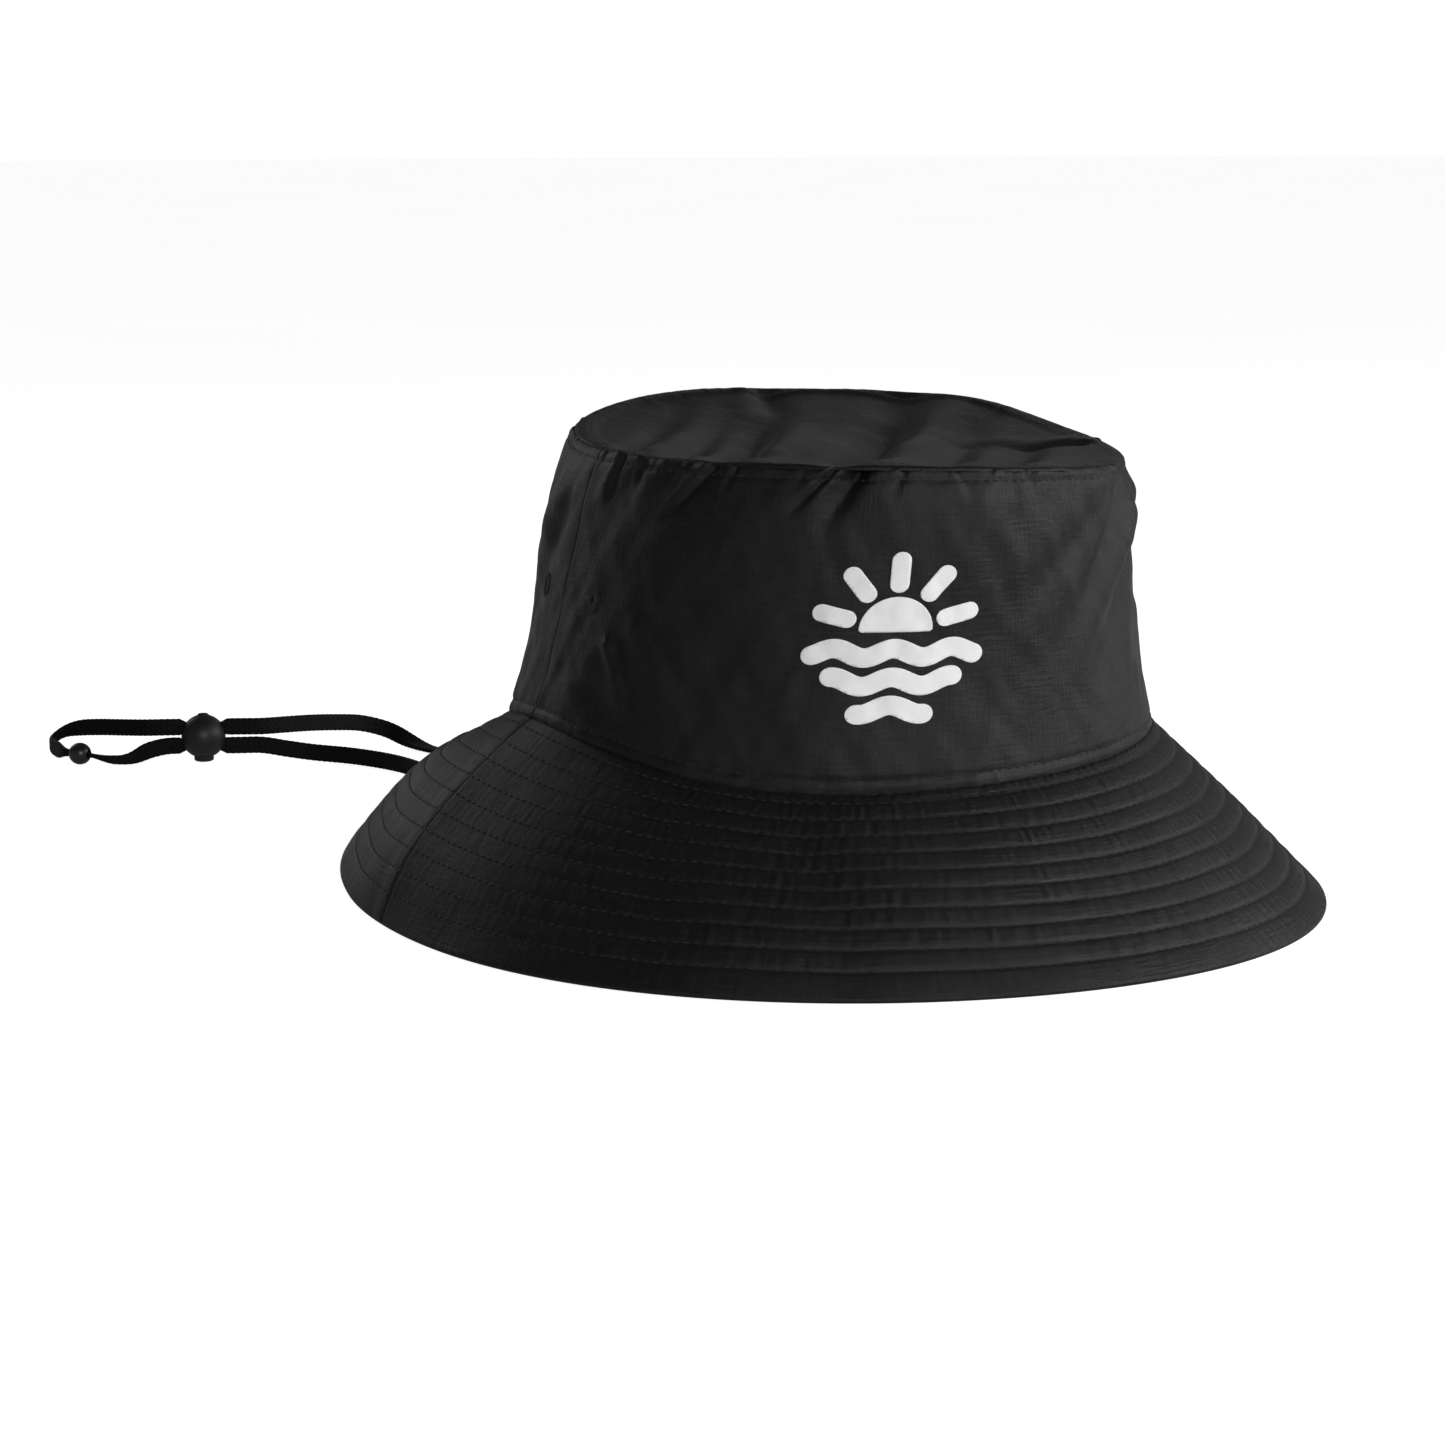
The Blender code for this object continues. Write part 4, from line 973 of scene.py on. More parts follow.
def softened(values, width):
    k = np.exp(-(np.arange(-3 * width, 3 * width + 1) / width) ** 2)
    k /= k.sum()
    pad = np.concatenate([np.repeat(values[:1], 3 * width, 0), values, np.repeat(values[-1:], 3 * width, 0)])
    if values.ndim == 1:
        return np.convolve(pad, k, "valid")
    return np.stack([np.convolve(pad[:, i], k, "valid") for i in range(values.shape[1])], 1)


LINE_N = 1900
line, CORD_LENGTH = smooth_route(ROUTE, LINE_N)
line[5:-5] = softened(line, 3)[5:-5]
step = CORD_LENGTH / (LINE_N - 1)


def place_on_line(point, low=0.0, high=1.0):
    i0, i1 = int(low * LINE_N), int(high * LINE_N)
    d = np.linalg.norm(line[i0:i1] - np.array(point), axis=1)
    return (i0 + d.argmin()) * step


along = np.arange(LINE_N) * step
S_LOCK_UP = place_on_line(at_lock(0, UP), 0.2, 0.62)
S_LOCK_DOWN = place_on_line(at_lock(0, DOWN), 0.5, 0.9)
S_BEAD = place_on_line(at_bead(0), 0.4, 0.7)
S_TWIST = place_on_line((-0.0341, 0.2711, 0.0016), 0.2, 0.6)  # where the first strand turns onto its edge
S_TURN = place_on_line((-0.1598, 0.3258, 0.0056), 0.3, 0.7)
S_RIM_2 = place_on_line((-0.0545, 0.176, 0.0031), 0.6, 1.0)


# how the lace stands: 0 on its edge, 1 flat
flat = 1 - smooth01((along - S_TWIST) / 0.032)
flat = np.maximum(flat, smooth01((along - (S_RIM_2 - 0.030)) / 0.050))
# how wide it is: it gathers inside the lock's passages and the bead's bore
width = np.full(LINE_N, LACE_WIDTH)
thick = np.full(LINE_N, LACE_THICK)


def squeeze(centre, half, ramp_len, w, th):
    global width, thick
    x = smooth01((np.abs(along - centre) - half) / ramp_len)
    width = width * x + w * (1 - x)
    thick = thick * x + th * (1 - x)


squeeze(S_LOCK_UP, 0.0048, 0.0042, 0.0028, 0.0024)
squeeze(S_LOCK_DOWN, 0.0048, 0.0042, 0.0028, 0.0024)
squeeze(S_BEAD, 0.0046, 0.0100, 0.0026, 0.0024)
x = smooth01((np.abs(along - (S_BEAD + 0.010)) - 0.004) / 0.012)
width = width * (0.55 + 0.45 * x)
width = width * (1 - 0.42 * np.exp(-((along - S_TURN) / 0.008) ** 2))

tangent = np.gradient(line, axis=0)
tangent /= np.linalg.norm(tangent, axis=1, keepdims=True)
upward = np.array((0.0, 0.0, 1.0))
edge_on = upward - (tangent @ upward)[:, None] * tangent
steep = np.linalg.norm(edge_on, axis=1)
level_side = np.cross(tangent, upward)
# near the tabs the lace hangs straight down, with its width along the tab
hang = np.maximum(1 - smooth01((along - 0.030) / 0.030), smooth01((along - (CORD_LENGTH - 0.060)) / 0.030))
tab_side = np.tile(np.array((0.0, 1.0, 0.0)), (LINE_N, 1))
flip = np.sign((level_side * tab_side).sum(1))
for part in (slice(0, LINE_N // 2), slice(LINE_N // 2, LINE_N)):
    # the sign that the level side has just after the hang decides for the whole half
    probe = level_side[int(0.08 / step)] if part.start == 0 else level_side[LINE_N - 1 - int(0.08 / step)]
    tab_side[part] *= np.sign(probe @ np.array((0.0, 1.0, 0.0))) or 1.0
norm_level = np.maximum(np.linalg.norm(level_side, axis=1, keepdims=True), 1e-6)
level_side = level_side / norm_level
edge_on = edge_on / np.maximum(steep[:, None], 1e-6)
phi = (1 - flat) * math.pi / 2
across = level_side * np.cos(phi)[:, None] + edge_on * np.sin(phi)[:, None]
across = across * (1 - hang)[:, None] + tab_side * hang[:, None]
across -= (across * tangent).sum(1, keepdims=True) * tangent
across /= np.linalg.norm(across, axis=1, keepdims=True)
across = softened(across, 6)
across -= (across * tangent).sum(1, keepdims=True) * tangent
across /= np.linalg.norm(across, axis=1, keepdims=True)
face_n = np.cross(across, tangent)
# a flat stretch lies on the table: its half height there sets the line's height
half_high = np.abs(across[:, 2]) * width / 2 + np.abs(face_n[:, 2]) * thick / 2
on_table = (line[:, 2] < 0.0038) & (np.abs(tangent[:, 2]) < 0.2)
lower = np.where(on_table, line[:, 2] - half_high - 0.0002, 0.0)
lower = softened(np.maximum(lower, 0), 14)
line_z = line[:, 2] - lower
line_z = np.maximum(line_z, np.where(np.abs(tangent[:, 2]) < 0.5, half_high + 0.0001, 0))
line = np.stack([line[:, 0], line[:, 1], softened(line_z, 4)], 1)

SIDES = 24
ring_pts = []
for k in range(SIDES):
    ang = TAU * (k + 0.5) / SIDES
    cx, cy = math.cos(ang), math.sin(ang)
    ex = np.sign(cx) * abs(cx) ** 0.62
    ey = np.sign(cy) * abs(cy) ** 0.72
    # thicker at both edges than between them, as a flat braid is
    ring_pts.append((ex, ey * (0.80 + 0.20 * min(1.0, abs(ex) * 1.25) ** 4)))
verts, uvs = [], []
for i in range(LINE_N):
    for ex, ey in ring_pts:
        # strands of the braid cross the face in chevrons
        strand = math.sin(TAU * (along[i] / 0.0021 + abs(((ex * 3 + 9) % 2) - 1) * 0.62))
        lift = 1 + 0.055 * strand
        verts.append(line[i] + across[i] * (ex * width[i] / 2 * (1 + 0.018 * strand)) + face_n[i] * (ey * thick[i] / 2 * lift))
        uvs.append((ex * LACE_WIDTH / 2 + 0.01, along[i]))
verts = np.array(verts)
verts[:, 2] = np.maximum(verts[:, 2], 0.00005)
quads = []
i, k = np.meshgrid(np.arange(LINE_N - 1), np.arange(SIDES), indexing="ij")
m = (k + 1) % SIDES
quads = np.stack([i * SIDES + k, i * SIDES + m, (i + 1) * SIDES + m, (i + 1) * SIDES + k], -1).reshape(-1, 4)
tris = []
for base, order in ((0, -1), ((LINE_N - 1) * SIDES, 1)):
    centre_i = len(verts)
    verts = np.concatenate([verts, verts[base:base + SIDES].mean(0)[None]])
    uvs.append((0.01, along[0 if base == 0 else -1]))
    for k in range(SIDES):
        m = (k + 1) % SIDES
        tris.append((centre_i, base + m, base + k) if order < 0 else (centre_i, base + k, base + m))
lace = build("chin_lace", verts, quads, LACE, uvs, tris=tris)
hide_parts("chin_cord")


# ------------------------------------------------------------------ cord lock, plunger, bead
def lathe_mesh(profile, steps):
    """Quads and end fans of a body turned about +Z."""
    bm = bmesh.new()
    rings = []
    for r, z in profile:
        if r < 1e-9:
            rings.append([bm.verts.new((0, 0, z))])
        else:
            rings.append([bm.verts.new((r * math.cos(TAU * i / steps), r * math.sin(TAU * i / steps), z))
                          for i in range(steps)])
    pairs = list(zip(rings, rings[1:]))
    if len(rings[0]) > 1 and len(rings[-1]) > 1:
        pairs.append((rings[-1], rings[0]))
    for lo, hi in pairs:
        for i in range(steps):
            k = (i + 1) % steps
            if len(lo) == 1:
                bm.faces.new((lo[0], hi[k], hi[i]))
            elif len(hi) == 1:
                bm.faces.new((lo[i], lo[k], hi[0]))
            else:
                bm.faces.new((lo[i], lo[k], hi[k], hi[i]))
    bmesh.ops.recalc_face_normals(bm, faces=bm.faces)
    return bm


def piece(name, bm, matrix, material, body, sharp=32.0):
    bmesh.ops.recalc_face_normals(bm, faces=bm.faces)
    me = bpy.data.meshes.new(name)
    bm.transform(matrix)
    bm.to_mesh(me)
    bm.free()
    me.shade_smooth()
    me.set_sharp_from_angle(angle=math.radians(sharp))
    me.materials.append(material)
    ob = bpy.data.objects.new(name, me)
    bpy.context.scene.collection.objects.link(ob)
    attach(ob, body)
    return ob


def carve(ob, cutters):
    """Takes the cutters out of a piece, and leaves plain meshes."""
    made = []
    for bm in cutters:
        bmesh.ops.recalc_face_normals(bm, faces=bm.faces)
        me = bpy.data.meshes.new("cutter")
        bm.to_mesh(me)
        bm.free()
        c = bpy.data.objects.new("cutter", me)
        bpy.context.scene.collection.objects.link(c)
        mod = ob.modifiers.new("carve", "BOOLEAN")
        mod.operation, mod.object, mod.solver = "DIFFERENCE", c, "EXACT"
        made.append(c)
    bpy.context.view_layer.update()
    dg = bpy.context.evaluated_depsgraph_get()
    new = bpy.data.meshes.new_from_object(ob.evaluated_get(dg))
    ob.modifiers.clear()
    materials = [m for m in ob.data.materials]
    ob.data = new
    if not len(new.materials):
        for m in materials:
            new.materials.append(m)
    for c in made:
        bpy.data.objects.remove(c)
    new.shade_smooth()
    new.set_sharp_from_angle(angle=math.radians(32))


LOCK_PLACE = (Matrix.Translation(Vector(LOCK - MID)) @ Matrix.Rotation(math.radians(LOCK_YAW), 4, "Z"))
outer = []
for i in range(37):
    a_ = math.radians(-57 + (74 + 57) * i / 36)
    # a fine parting groove round the middle
    groove = 0.00012 * math.exp(-((a_ - 0.0) / 0.02) ** 2)
    outer.append(((LOCK_R - groove) * math.cos(a_), (LOCK_R - groove) * math.sin(a_)))
outer += [(0.0020, 0.00785), (0.00185, 0.0081), (0.0016, 0.00825), (0.0008, 0.00830), (0.0, 0.00831)]
BORE_R = PLUNGER_R + GAP
lip = [(BORE_R, outer[0][1] + 0.0003), (BORE_R + 0.0002, outer[0][1] - 0.00005)]
bore = [(0.0, 0.0073), (0.0019, 0.0073), (0.0019, 0.00695), (BORE_R, 0.0057)]
lock_body = piece("lock_ball", lathe_mesh(bore + lip + outer, 96), LOCK_PLACE, LOCK_PLASTIC, "cord_lock")


def mouth(z, steps=40):
    bm = bmesh.new()
    rows = []
    for x_, hh, hw in ((-0.0100, 0.0034, 0.0024), (-0.0072, 0.0026, 0.0018), (-0.0058, 0.0020, 0.00155),
                       (-0.0042, 0.0016, 0.0015), (0.0042, 0.0016, 0.0015), (0.0058, 0.0020, 0.00155),
                       (0.0072, 0.0026, 0.0018), (0.0100, 0.0034, 0.0024)):
        rows.append([bm.verts.new((x_, hw * math.cos(TAU * i / steps), z + hh * math.sin(TAU * i / steps)))
                     for i in range(steps)])
    for lo, hi in zip(rows, rows[1:]):
        for i in range(steps):
            k = (i + 1) % steps
            bm.faces.new((lo[i], lo[k], hi[k], hi[i]))
    bm.faces.new(rows[0][::-1])
    bm.faces.new(rows[-1])
    bm.transform(LOCK_PLACE)
    return bm


carve(lock_body, [mouth(UP), mouth(DOWN)])
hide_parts("cord_lock_body")

button = [(0, -0.0090), (0.0012, -0.00903), (0.0024, -0.00896), (0.0030, -0.0088), (0.00338, -0.0085),
          (PLUNGER_R, -0.0081), (PLUNGER_R, 0.0045), (PLUNGER_R - 0.0003, 0.0048), (0.0015, 0.0057), (0, 0.0057)]
plunger = piece("lock_button", lathe_mesh(button, 72), LOCK_PLACE, LOCK_PLASTIC, "lock_plunger")
slots = []
for z0, z1 in ((0.0009, 0.0049), (-0.0059, -0.0019)):
    bm = bmesh.new()
    bmesh.ops.create_cube(bm, size=1.0)
    bmesh.ops.scale(bm, vec=(0.012, 0.0030, z1 - z0), verts=bm.verts)
    bmesh.ops.translate(bm, vec=(0, 0, (z0 + z1) / 2), verts=bm.verts)
    bmesh.ops.bevel(bm, geom=list(bm.edges), offset=0.0003, segments=2, affect="EDGES")
    bm.transform(LOCK_PLACE)
    slots.append(bm)
carve(plunger, slots)
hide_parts("cord_lock_plunger")

spring_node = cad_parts["cord_lock_spring"]
spring_node.data.materials.clear()
spring_node.data.materials.append(STEEL)

bead_profile = []
for i in range(33):
    a_ = math.radians(-66 + 132 * i / 32)
    bead_profile.append((BEAD_R * math.cos(a_), BEAD_R * 1.05 * math.sin(a_)))
end = bead_profile[-1][1]
r_in = 0.0012 + GAP
bead_profile = ([(r_in, -end + 0.0004), (r_in + 0.0001, -end + 0.0001)] + bead_profile
                + [(r_in + 0.0001, end - 0.0001), (r_in, end - 0.0004)])
BEAD_PLACE = (Matrix.Translation(Vector(BEAD - MID)) @ Matrix.Rotation(math.radians(BEAD_YAW), 4, "Z")
              @ Matrix.Rotation(math.radians(90), 4, "Y"))
bead = piece("end_bead", lathe_mesh(bead_profile, 64), BEAD_PLACE, BEAD_PLASTIC, "root")
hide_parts("cord_bead")

# ------------------------------------------------------------------ crown side
t_rows = np.concatenate([np.linspace(0.004, 0.05, 10), np.linspace(0.05, 0.20, 26)[1:],
                         np.linspace(0.20, 0.93, 68)[1:], np.linspace(0.93, 1.006, 12)[1:]])
eyelet_points = {}
for tag, deg in (("left_back", EYELET_ANGLE), ("left_front", 360 - EYELET_ANGLE),
                 ("right_back", 180 - EYELET_ANGLE), ("right_front", 180 + EYELET_ANGLE)):
    a_ = np.array([math.radians(deg)])
    t_ = np.array([EYELET_HEIGHT])
    eyelet_points[tag] = (crown_cloth(a_, t_)[0], base_normal(crown_base, a_, t_)[0])
trim = 0.0
for tag, lo, hi in (("front", math.pi, TAU), ("back", 0.0, math.pi)):
    a_, t_ = grid(t_rows, lo + trim, hi - trim, int(376 * FINE))
    p = crown_cloth(a_, t_)
    holes = [(c, 0.0021) for key, (c, n) in eyelet_points.items() if key.endswith(tag)]
    cloth_grid("crown_side_cloth_" + tag, p, cloth_uv(p, a_, t_ * CROWN_HEIGHT), 0.00055, False, SHELL,
               ("crown_side_" + tag,), holes)

# tip
r_rows = np.concatenate([np.linspace(0.012, 0.88, 66), np.linspace(0.88, 1.0, 24)[1:]])
a_, r_ = grid(r_rows, 0.0, TAU, int(540 * FINE), closed=True)
p = tip_cloth(a_, r_)
uv = p[..., :2].copy()
rows, cols = p.shape[:2]
n = grid_normals(p, True)
middle = p[0].mean(0)
v = np.concatenate([p.reshape(-1, 3), middle[None]])
nn = np.concatenate([n.reshape(-1, 3), n[0].mean(0)[None]])
q = grid_quads(rows, cols, True)
j = np.arange(cols)
tris = np.stack([np.full(cols, rows * cols), j, (j + 1) % cols], 1)
uvs = np.concatenate([uv.reshape(-1, 2), middle[None, :2]])
v, q, uvs, tris = thicken(v, nn, q, 0.00055, uvs, tris)
tip_piece = build("crown_tip_cloth", v, q, SHELL, uvs, tris)
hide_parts("crown_tip")

# ------------------------------------------------------------------ brim
marks = [-0.0004, 0.0006, 0.0014, 0.0022]
for k in range(ROWS):
    marks += [ROW_FIRST + ROW_STEP * k + x_ for x_ in (0.0, 0.00055, 0.0012, 0.0024, 0.0042, 0.0054, 0.00605)]
marks = [x_ for x_ in marks if x_ < 0.0700] + [0.0668, 0.0680, 0.0690, 0.0698, 0.0705]
s_rows = np.array(sorted(set(marks))) / 0.0705
ROLL_SPLIT = math.radians(112)


def brim_sheet(angles, from_roll, rows_s, under):
    """Rows of the brim's cloth: along the slope and round the rolled edge, or on under the brim."""
    long, run, rise = brim_frame(angles)
    end = np.ones_like(angles)
    tip_pt = brim_base(angles, end)
    n_end = base_normal(brim_base, angles, end)
    out = np.cross(np.stack([-np.sin(angles), np.cos(angles), 0 * angles], -1), n_end)
    out = out - (out * n_end).sum(-1, keepdims=True) * n_end
    out /= np.linalg.norm(out, axis=-1, keepdims=True)
    # out points down the slope
    flipped = np.sign((out * run).sum(-1, keepdims=True))
    out = out * flipped
    centre = tip_pt - n_end * RIM_R
    rows_p, u = [], []
    if not under:
        for s in rows_s:
            ss = np.full_like(angles, s)
            rows_p.append(brim_cloth(angles, ss))
            u.append(s * 0.0705)
        for th in np.linspace(0, ROLL_SPLIT - 0.05, 7)[1:]:
            rows_p.append(centre + n_end * (RIM_R * math.cos(th)) + out * (RIM_R * math.sin(th)))
            u.append(0.070 + RIM_R * th)
    else:
        for th in np.linspace(ROLL_SPLIT + 0.05, math.pi, 5):
            rows_p.append(centre + n_end * (RIM_R * math.cos(th)) + out * (RIM_R * math.sin(th)))
            u.append(-RIM_R * (math.pi - th))
        for s in rows_s:
            ss = np.full_like(angles, s)
            rows_p.append(brim_lining(angles, ss))
            u.append((1 - s) * 0.070)
    return np.stack(rows_p), np.array(u)


for tag, lo, hi in (("front", math.pi, TAU), ("back", 0.0, math.pi)):
    angles = np.linspace(lo + trim, hi - trim, int(580 * FINE))
    p, u = brim_sheet(angles, False, s_rows, False)
    aa, uu = np.meshgrid(angles, u)
    cloth_grid("brim_top_cloth_" + tag, p, np.stack([aa * 0.12, uu], -1), 0.0005, False, SHELL,
               ("brim_top_" + tag,))
    angles = np.linspace(lo + trim, hi - trim, int(330 * FINE))
    p, u = brim_sheet(angles, True, np.linspace(0.985, 0.012, 84), True)
    aa, uu = np.meshgrid(angles, u)
    cloth_grid("brim_under_cloth_" + tag, p, np.stack([aa * 0.12, uu], -1), 0.0005, False, UNDER,
               ("brim_under_" + tag,))

# the stiff layer between them
a_, s_ = grid(np.linspace(0.030, 0.965, 40), 0.0, TAU, 240, closed=True)
nb = base_normal(brim_base, a_, s_)
p = brim_shape(a_, s_) - nb * 0.00108
cloth_grid("brim_stiffener", p, np.stack([a_ * 0.12, s_ * 0.07], -1), 0.0004, True, INTERLINING,
           ("brim_interlining",))

# ------------------------------------------------------------------ stitching
brim_rows, under_rows = [], []
for k in range(ROWS):
    share = row_share(k)
    brim_rows.append(stitch_row(brim_cloth, share, 0.0033, phase=0.5 + 0.13 * (k % 3), offset=0.00002))
    c, d, n = stitch_row(brim_lining, share, 0.0033, phase=0.5 + 0.13 * (k % 3))
    under_rows.append((c, d, -n))
stitch_mesh("brim_top_stitching", brim_rows, 0.0024, 0.00060, 0.00036, THREAD_WITH_PAINTED_SHADE)
stitch_mesh("brim_under_stitching", under_rows, 0.0024, 0.00046, 0.00034, THREAD_WITH_PAINTED_SHADE)
crown_rows = [stitch_row(crown_cloth, TOPSTITCH_T, 0.0030), stitch_row(crown_cloth, SEAMSTITCH_T, 0.0030)]
tip_row_a = stitch_row(tip_cloth, 0.948, 0.0030)
stitch_mesh("crown_stitching", crown_rows + [tip_row_a], 0.0021, 0.00055, 0.00032, THREAD_WITH_PAINTED_SHADE)

# ------------------------------------------------------------------ eyelets
EYELET_THREADS = 26
for tag, (centre, normal) in eyelet_points.items():
    z = Vector(normal)
    x_ = Vector((0, 0, 1)).cross(z).normalized()
    y_ = z.cross(x_)
    steps = EYELET_THREADS * 6
    prof = ((0.0011, -0.0016), (0.0021, -0.0016), (0.0021, 0.00000), (0.0033, -0.00006), (0.0037, 0.00004),
            (0.0035, 0.00016), (0.0030, 0.00036), (0.0024, 0.00052), (0.0018, 0.00054), (0.0013, 0.00034),
            (0.0011, -0.0001))
    rng = np.random.default_rng(int(1000 * abs(centre[0]) + 100 * (centre[1] > 0)))
    ends = 1 + rng.uniform(-0.14, 0.10, EYELET_THREADS)
    verts, quads = [], []
    for i in range(steps):
        ang = TAU * i / steps
        rib = abs(math.sin(ang * EYELET_THREADS / 2))
        for r, h in prof:
            lift = 0.00026 * (rib - 0.6) if h > 0.0001 else 0.0
            grow = (ends[i // 6] * (0.86 + 0.14 * rib)) if r > 0.0029 else 1.0
            pt = (Vector(centre) + x_ * (r * grow * math.cos(ang)) + y_ * (r * grow * math.sin(ang))
                  + z * (h + lift))
            verts.append(tuple(pt))
    m_ = len(prof)
    for i in range(steps):
        i2 = (i + 1) % steps
        for k in range(m_):
            k2 = (k + 1) % m_
            quads.append((i * m_ + k, i2 * m_ + k, i2 * m_ + k2, i * m_ + k2))
    ob = build("sewn_eyelet_" + tag, verts, quads, EMBROIDERY)
    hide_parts("eyelet_" + tag)


# ------------------------------------------------------------------ linings
def lining(name, a0, a1, cols, t0, t1, rows, depth, thick, closed, material, node, ripple=0.0, seed=1,
           scale_u=CROWN_RADIUS):
    """A layer inside the crown: its face looks in at the head."""
    a_, t_ = grid(np.linspace(t1, t0, rows), a0, a1, cols, closed=closed)
    n_in = -base_normal(crown_base, a_, t_)
    wave = field(a_, t_, seed, (9, 30), (0.0, 2.0), ripple) if ripple else 0 * a_
    p = crown_base(a_, t_) + n_in * (depth + thick + wave + crown_sag(a_, t_))[..., None]
    uv_ = np.stack([a_ * scale_u, t_ * CROWN_HEIGHT], -1)
    return cloth_grid(name, p, uv_, thick, closed, material, (node,))


seam_len = float(np.linalg.norm(tip_seam(np.array(0.0)) - head_seam(np.array(0.0))))
BAND_TOP = 1 - 0.028 / seam_len
lining("sweatband_cloth", 0, TAU, 480, BAND_TOP, 0.990, 26, 0.00130, 0.00100, True, LINING,
       "sweatband", ripple=0.00012, seed=41)
lining("tip_tape", 0, TAU, 720, 0.045, 0.125, 14, 0.00125, 0.0007, True, TAPE, "tip_seam_tape",
       ripple=0.00012, seed=42)
for side, mid in (("left", 0.0), ("right", math.pi)):
    half = math.radians(3.6)
    lining("side_tape_" + side, mid - half, mid + half, 14, 0.14, BAND_TOP - 0.01, 60, 0.00140, 0.0006, False, TAPE,
           "side_seam_tape_" + side, ripple=0.00006, seed=43)
lining("care_label", math.radians(82), math.radians(98), 40, BAND_TOP + 0.02, BAND_TOP + 0.19, 22, 0.00290, 0.00045,
       False, LABEL, "size_label", ripple=0.00025, seed=44)


def band_face(a, t):
    return crown_base(a, t) - base_normal(crown_base, a, t) * (0.00232 + crown_sag(a, t))[..., None]


rows_in = []
for share in (BAND_TOP + 0.0025 / seam_len, 0.990 - 0.0030 / seam_len):
    c, d, n = stitch_row(band_face, share, 0.0030)
    rows_in.append((c, d, -n))


def tape_face(a, t):
    return crown_base(a, t) - base_normal(crown_base, a, t) * (0.00198 + crown_sag(a, t))[..., None]


for share in (0.056, 0.114):
    c, d, n = stitch_row(tape_face, share, 0.0030)
    rows_in.append((c, d, -n))
stitch_mesh("lining_stitching", rows_in, 0.0021, 0.00040, 0.00028, THREAD_WITH_PAINTED_SHADE)

# cord tabs: a folded tape, its foot closed round the lace's end
for name, side, foot in (("cord_loop_left", 1, LEFT_FOOT), ("cord_loop_right", -1, RIGHT_FOOT)):
    w_, th_, h_ = 0.0090, 0.0016, 0.0120
    prof = []
    for i in range(12):
        ang = -math.pi / 2 + math.pi * (i / 11 - 0.5)
        prof.append((math.cos(ang + math.pi / 2) * 0.0, 0.0))
    outline = []
    for i in range(9):
        ang = math.pi + math.pi * i / 8
        outline.append((math.cos(ang) * th_ / 2, 0.0008 + math.sin(ang) * 0.0008))
    for z_ in np.linspace(0.0012, h_ - 0.0004, 10):
        outline.append((th_ / 2 * (1 - 0.10 * math.sin(z_ / h_ * math.pi)), z_))
    for i in range(5):
        ang = math.pi * i / 4
        outline.append((math.cos(ang) * th_ / 2, h_ - 0.0004 + math.sin(ang) * 0.0004))
    for z_ in np.linspace(h_ - 0.0004, 0.0012, 10)[1:]:
        outline.append((-th_ / 2 * (1 - 0.10 * math.sin(z_ / h_ * math.pi)), z_))
    cols_ = 22
    pts, uvs_ = [], []
    ys = np.linspace(-w_ / 2, w_ / 2, cols_)
    for o_i, (ox, oz) in enumerate(outline):
        for y in ys:
            edge_ = max(0.0, abs(y) / (w_ / 2) - 0.9) / 0.1
            pts.append((foot[0] + ox * (1 - 0.35 * edge_ ** 2), y, foot[2] + oz))
            uvs_.append((y, o_i * 0.0012))
    pts = np.array(pts)
    rows_ = len(outline)
    q = []
    for i in range(rows_):
        i2 = (i + 1) % rows_
        for k in range(cols_ - 1):
            q.append((i * cols_ + k, i2 * cols_ + k, i2 * cols_ + k + 1, i * cols_ + k + 1))
    tr = []
    for col in (0, cols_ - 1):
        c_i = len(pts)
        pts = np.concatenate([pts, pts[col::cols_][:rows_].mean(0)[None]])
        uvs_.append((0, 0))
        for i in range(rows_):
            i2 = (i + 1) % rows_
            tri = (c_i, i2 * cols_ + col, i * cols_ + col)
            tr.append(tri if col == 0 else tri[::-1])
    ob = build(name, pts, q, TAPE, uvs_, tr)
    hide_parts("cord_tab_left" if side > 0 else "cord_tab_right")


# ------------------------------------------------------------------ print on the crown front
PRINT_ANGLE, PRINT_T, PRINT_SIZE = 252.8, 0.525, 0.93
CELL = 1.1                                   # millimetres, so that the ink follows the cloth


def bar(points, wide):
    """The outline of a thick line with round ends."""
    pts = np.array(points, float)
    d = np.gradient(pts, axis=0)
    d /= np.linalg.norm(d, axis=1, keepdims=True)
    n_ = np.stack([-d[:, 1], d[:, 0]], 1)
    left = pts + n_ * wide / 2
    right = pts - n_ * wide / 2
    caps = []
    for end_i, sign in ((-1, -1), (0, 1)):
        base_ang = math.atan2(n_[end_i][1], n_[end_i][0]) + (0 if end_i == -1 else math.pi)
        caps.append([pts[end_i] + wide / 2 * np.array((math.cos(base_ang - math.pi * k / 10),
                                                       math.sin(base_ang - math.pi * k / 10))) for k in range(1, 10)])
    return np.concatenate([left, caps[0], right[::-1], caps[1]])


shapes = []
sun = [(11.0 * math.cos(math.pi * k / 40), 3.0 + 11.0 * math.sin(math.pi * k / 40)) for k in range(41)]
sun = [(-10.2, 2.3), (10.2, 2.3)] + sun
shapes.append(np.array(sun))
PRINT_TALL = 0.90
for deg in (14, 52, 90, 128, 166):
    c_, s_2 = math.cos(math.radians(deg)), math.sin(math.radians(deg))
    shapes.append(bar([((15.2 + k * 1.55) * c_, 3.0 + (15.2 + k * 1.55) * s_2) for k in range(6)], 5.8))
for y0, half_w, wide_ in ((-4.6, 26.6, 6.4), (-14.0, 20.4, 6.4), (-23.2, 12.0, 6.4)):
    xs = np.linspace(-half_w + 2.6, half_w - 2.6, 60)
    shapes.append(bar([(x2, y0 + 1.5 * math.cos(x2 * TAU / 17.5)) for x2 in xs], wide_))

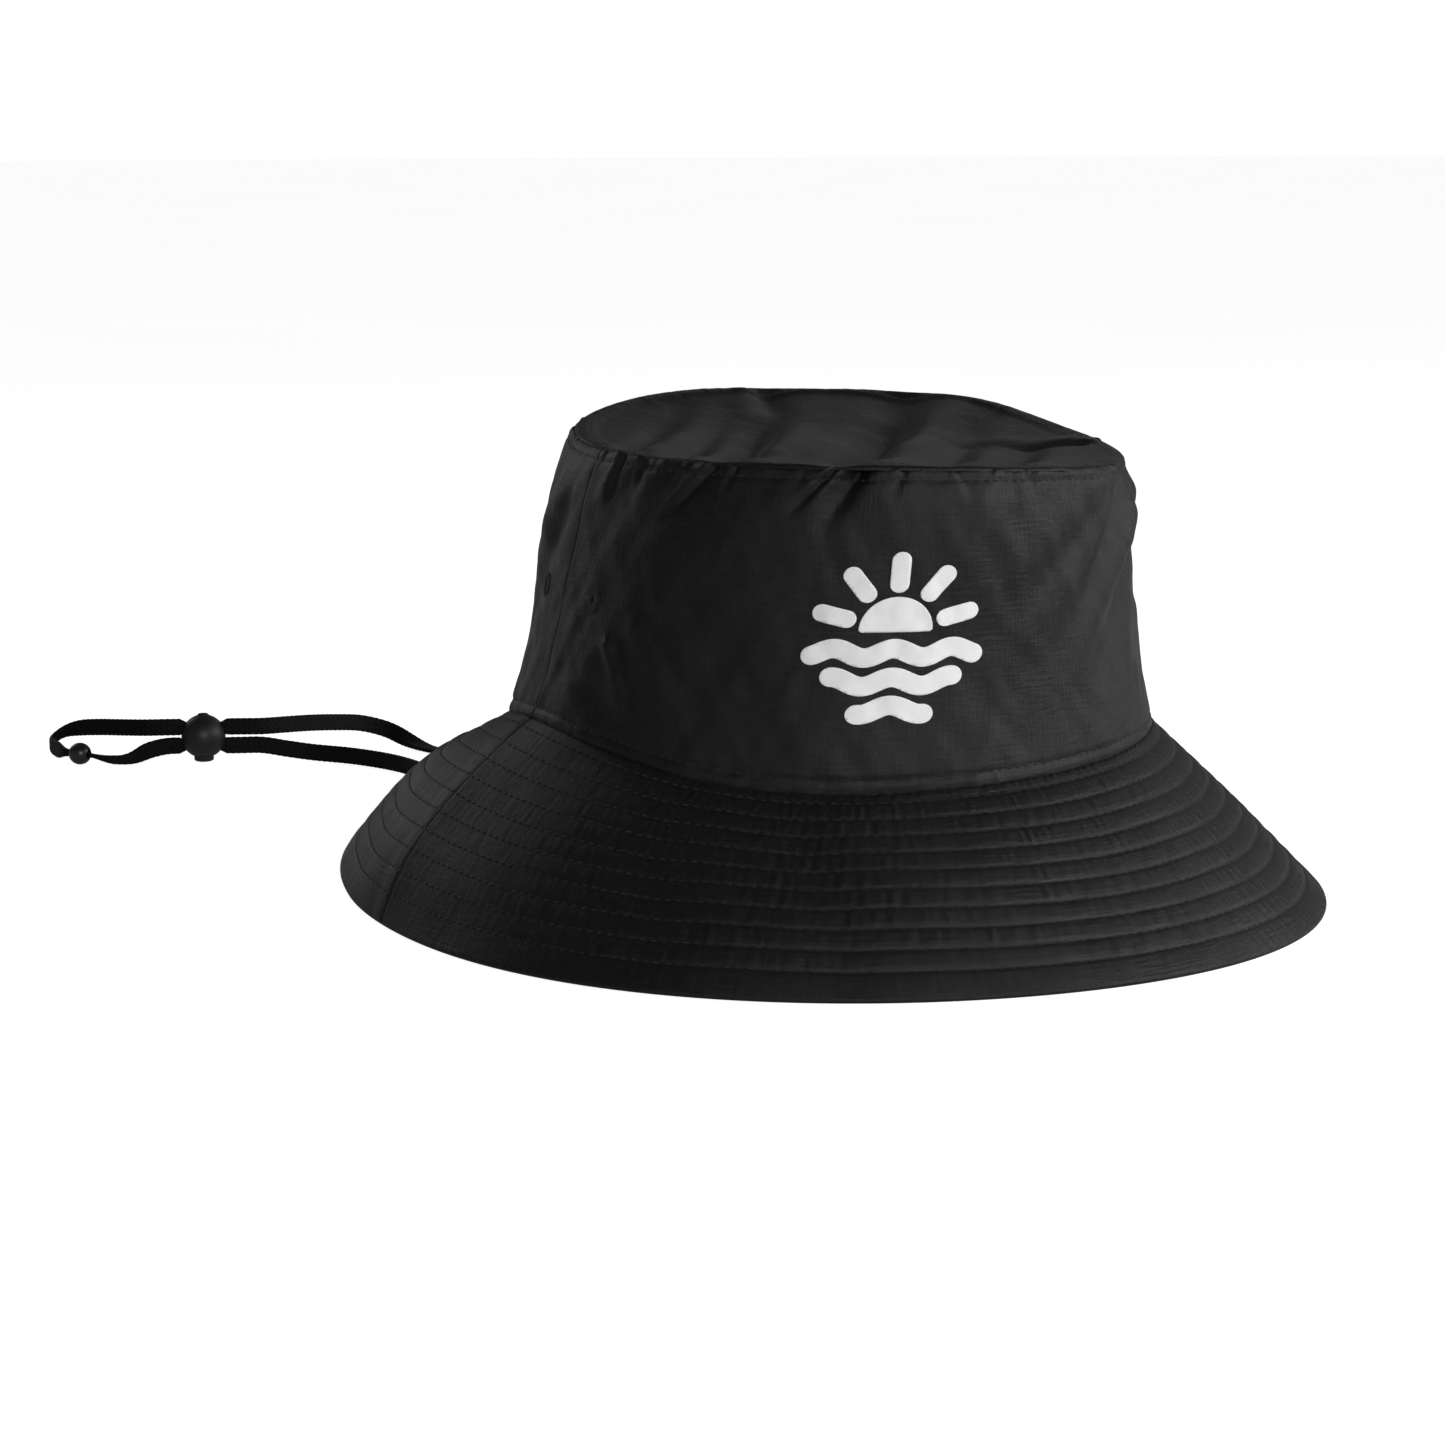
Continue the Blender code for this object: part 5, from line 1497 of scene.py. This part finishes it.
bm = bmesh.new()
for outline in shapes:
    vs = [bm.verts.new((x2, y2, 0)) for x2, y2 in outline]
    bm.faces.new(vs)
bmesh.ops.triangulate(bm, faces=bm.faces)
for axis in (0, 1):
    for k in np.arange(-30, 30, CELL):
        co, no = [0, 0, 0], [0, 0, 0]
        co[axis], no[axis] = float(k), 1
        bmesh.ops.bisect_plane(bm, geom=list(bm.verts) + list(bm.edges) + list(bm.faces), plane_co=co, plane_no=no)
bmesh.ops.triangulate(bm, faces=bm.faces)
bm.verts.ensure_lookup_table()
flat_xy = np.array([v_.co[:2] for v_ in bm.verts]) * (0.001 * PRINT_SIZE, 0.001 * PRINT_SIZE * PRINT_TALL)
tri = np.array([[v_.index for v_ in f.verts] for f in bm.faces])
area = np.cross(flat_xy[tri[:, 1]] - flat_xy[tri[:, 0]], flat_xy[tri[:, 2]] - flat_xy[tri[:, 0]])
tri[area < 0] = tri[area < 0][:, ::-1]
tri = tri[np.abs(area) > 1e-14]
bm.free()
# from millimetres on the cloth to the crown side's own coordinates
scan = np.linspace(math.radians(PRINT_ANGLE - 30), math.radians(PRINT_ANGLE + 30), 601)
p = crown_base(scan, np.full_like(scan, PRINT_T))
run = np.concatenate([[0], np.cumsum(np.linalg.norm(np.diff(p, axis=0), axis=1))])
run -= np.interp(math.radians(PRINT_ANGLE), scan, run)
pa = np.interp(flat_xy[:, 0], run, scan)
tall = np.linalg.norm(tip_seam(pa) - head_seam(pa), axis=-1)
pt_ = PRINT_T - flat_xy[:, 1] / tall
surf = crown_cloth(pa, pt_)
nrm = base_normal(crown_base, pa, pt_)
surf = surf + nrm * 0.00016
empty = np.zeros((0, 4), np.int64)
# the outward side: angles grow to the left of someone facing the front, so the winding is turned when needed
probe = np.cross(surf[tri[0, 1]] - surf[tri[0, 0]], surf[tri[0, 2]] - surf[tri[0, 0]]) @ nrm[tri[0, 0]]
if probe < 0:
    tri = tri[:, ::-1]
v, q, uvs, tris = thicken(surf, nrm, empty, 0.00022, flat_xy, tri)
ink = build("front_print", v, q, INK, uvs, tris, smooth=False)

lo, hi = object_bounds()
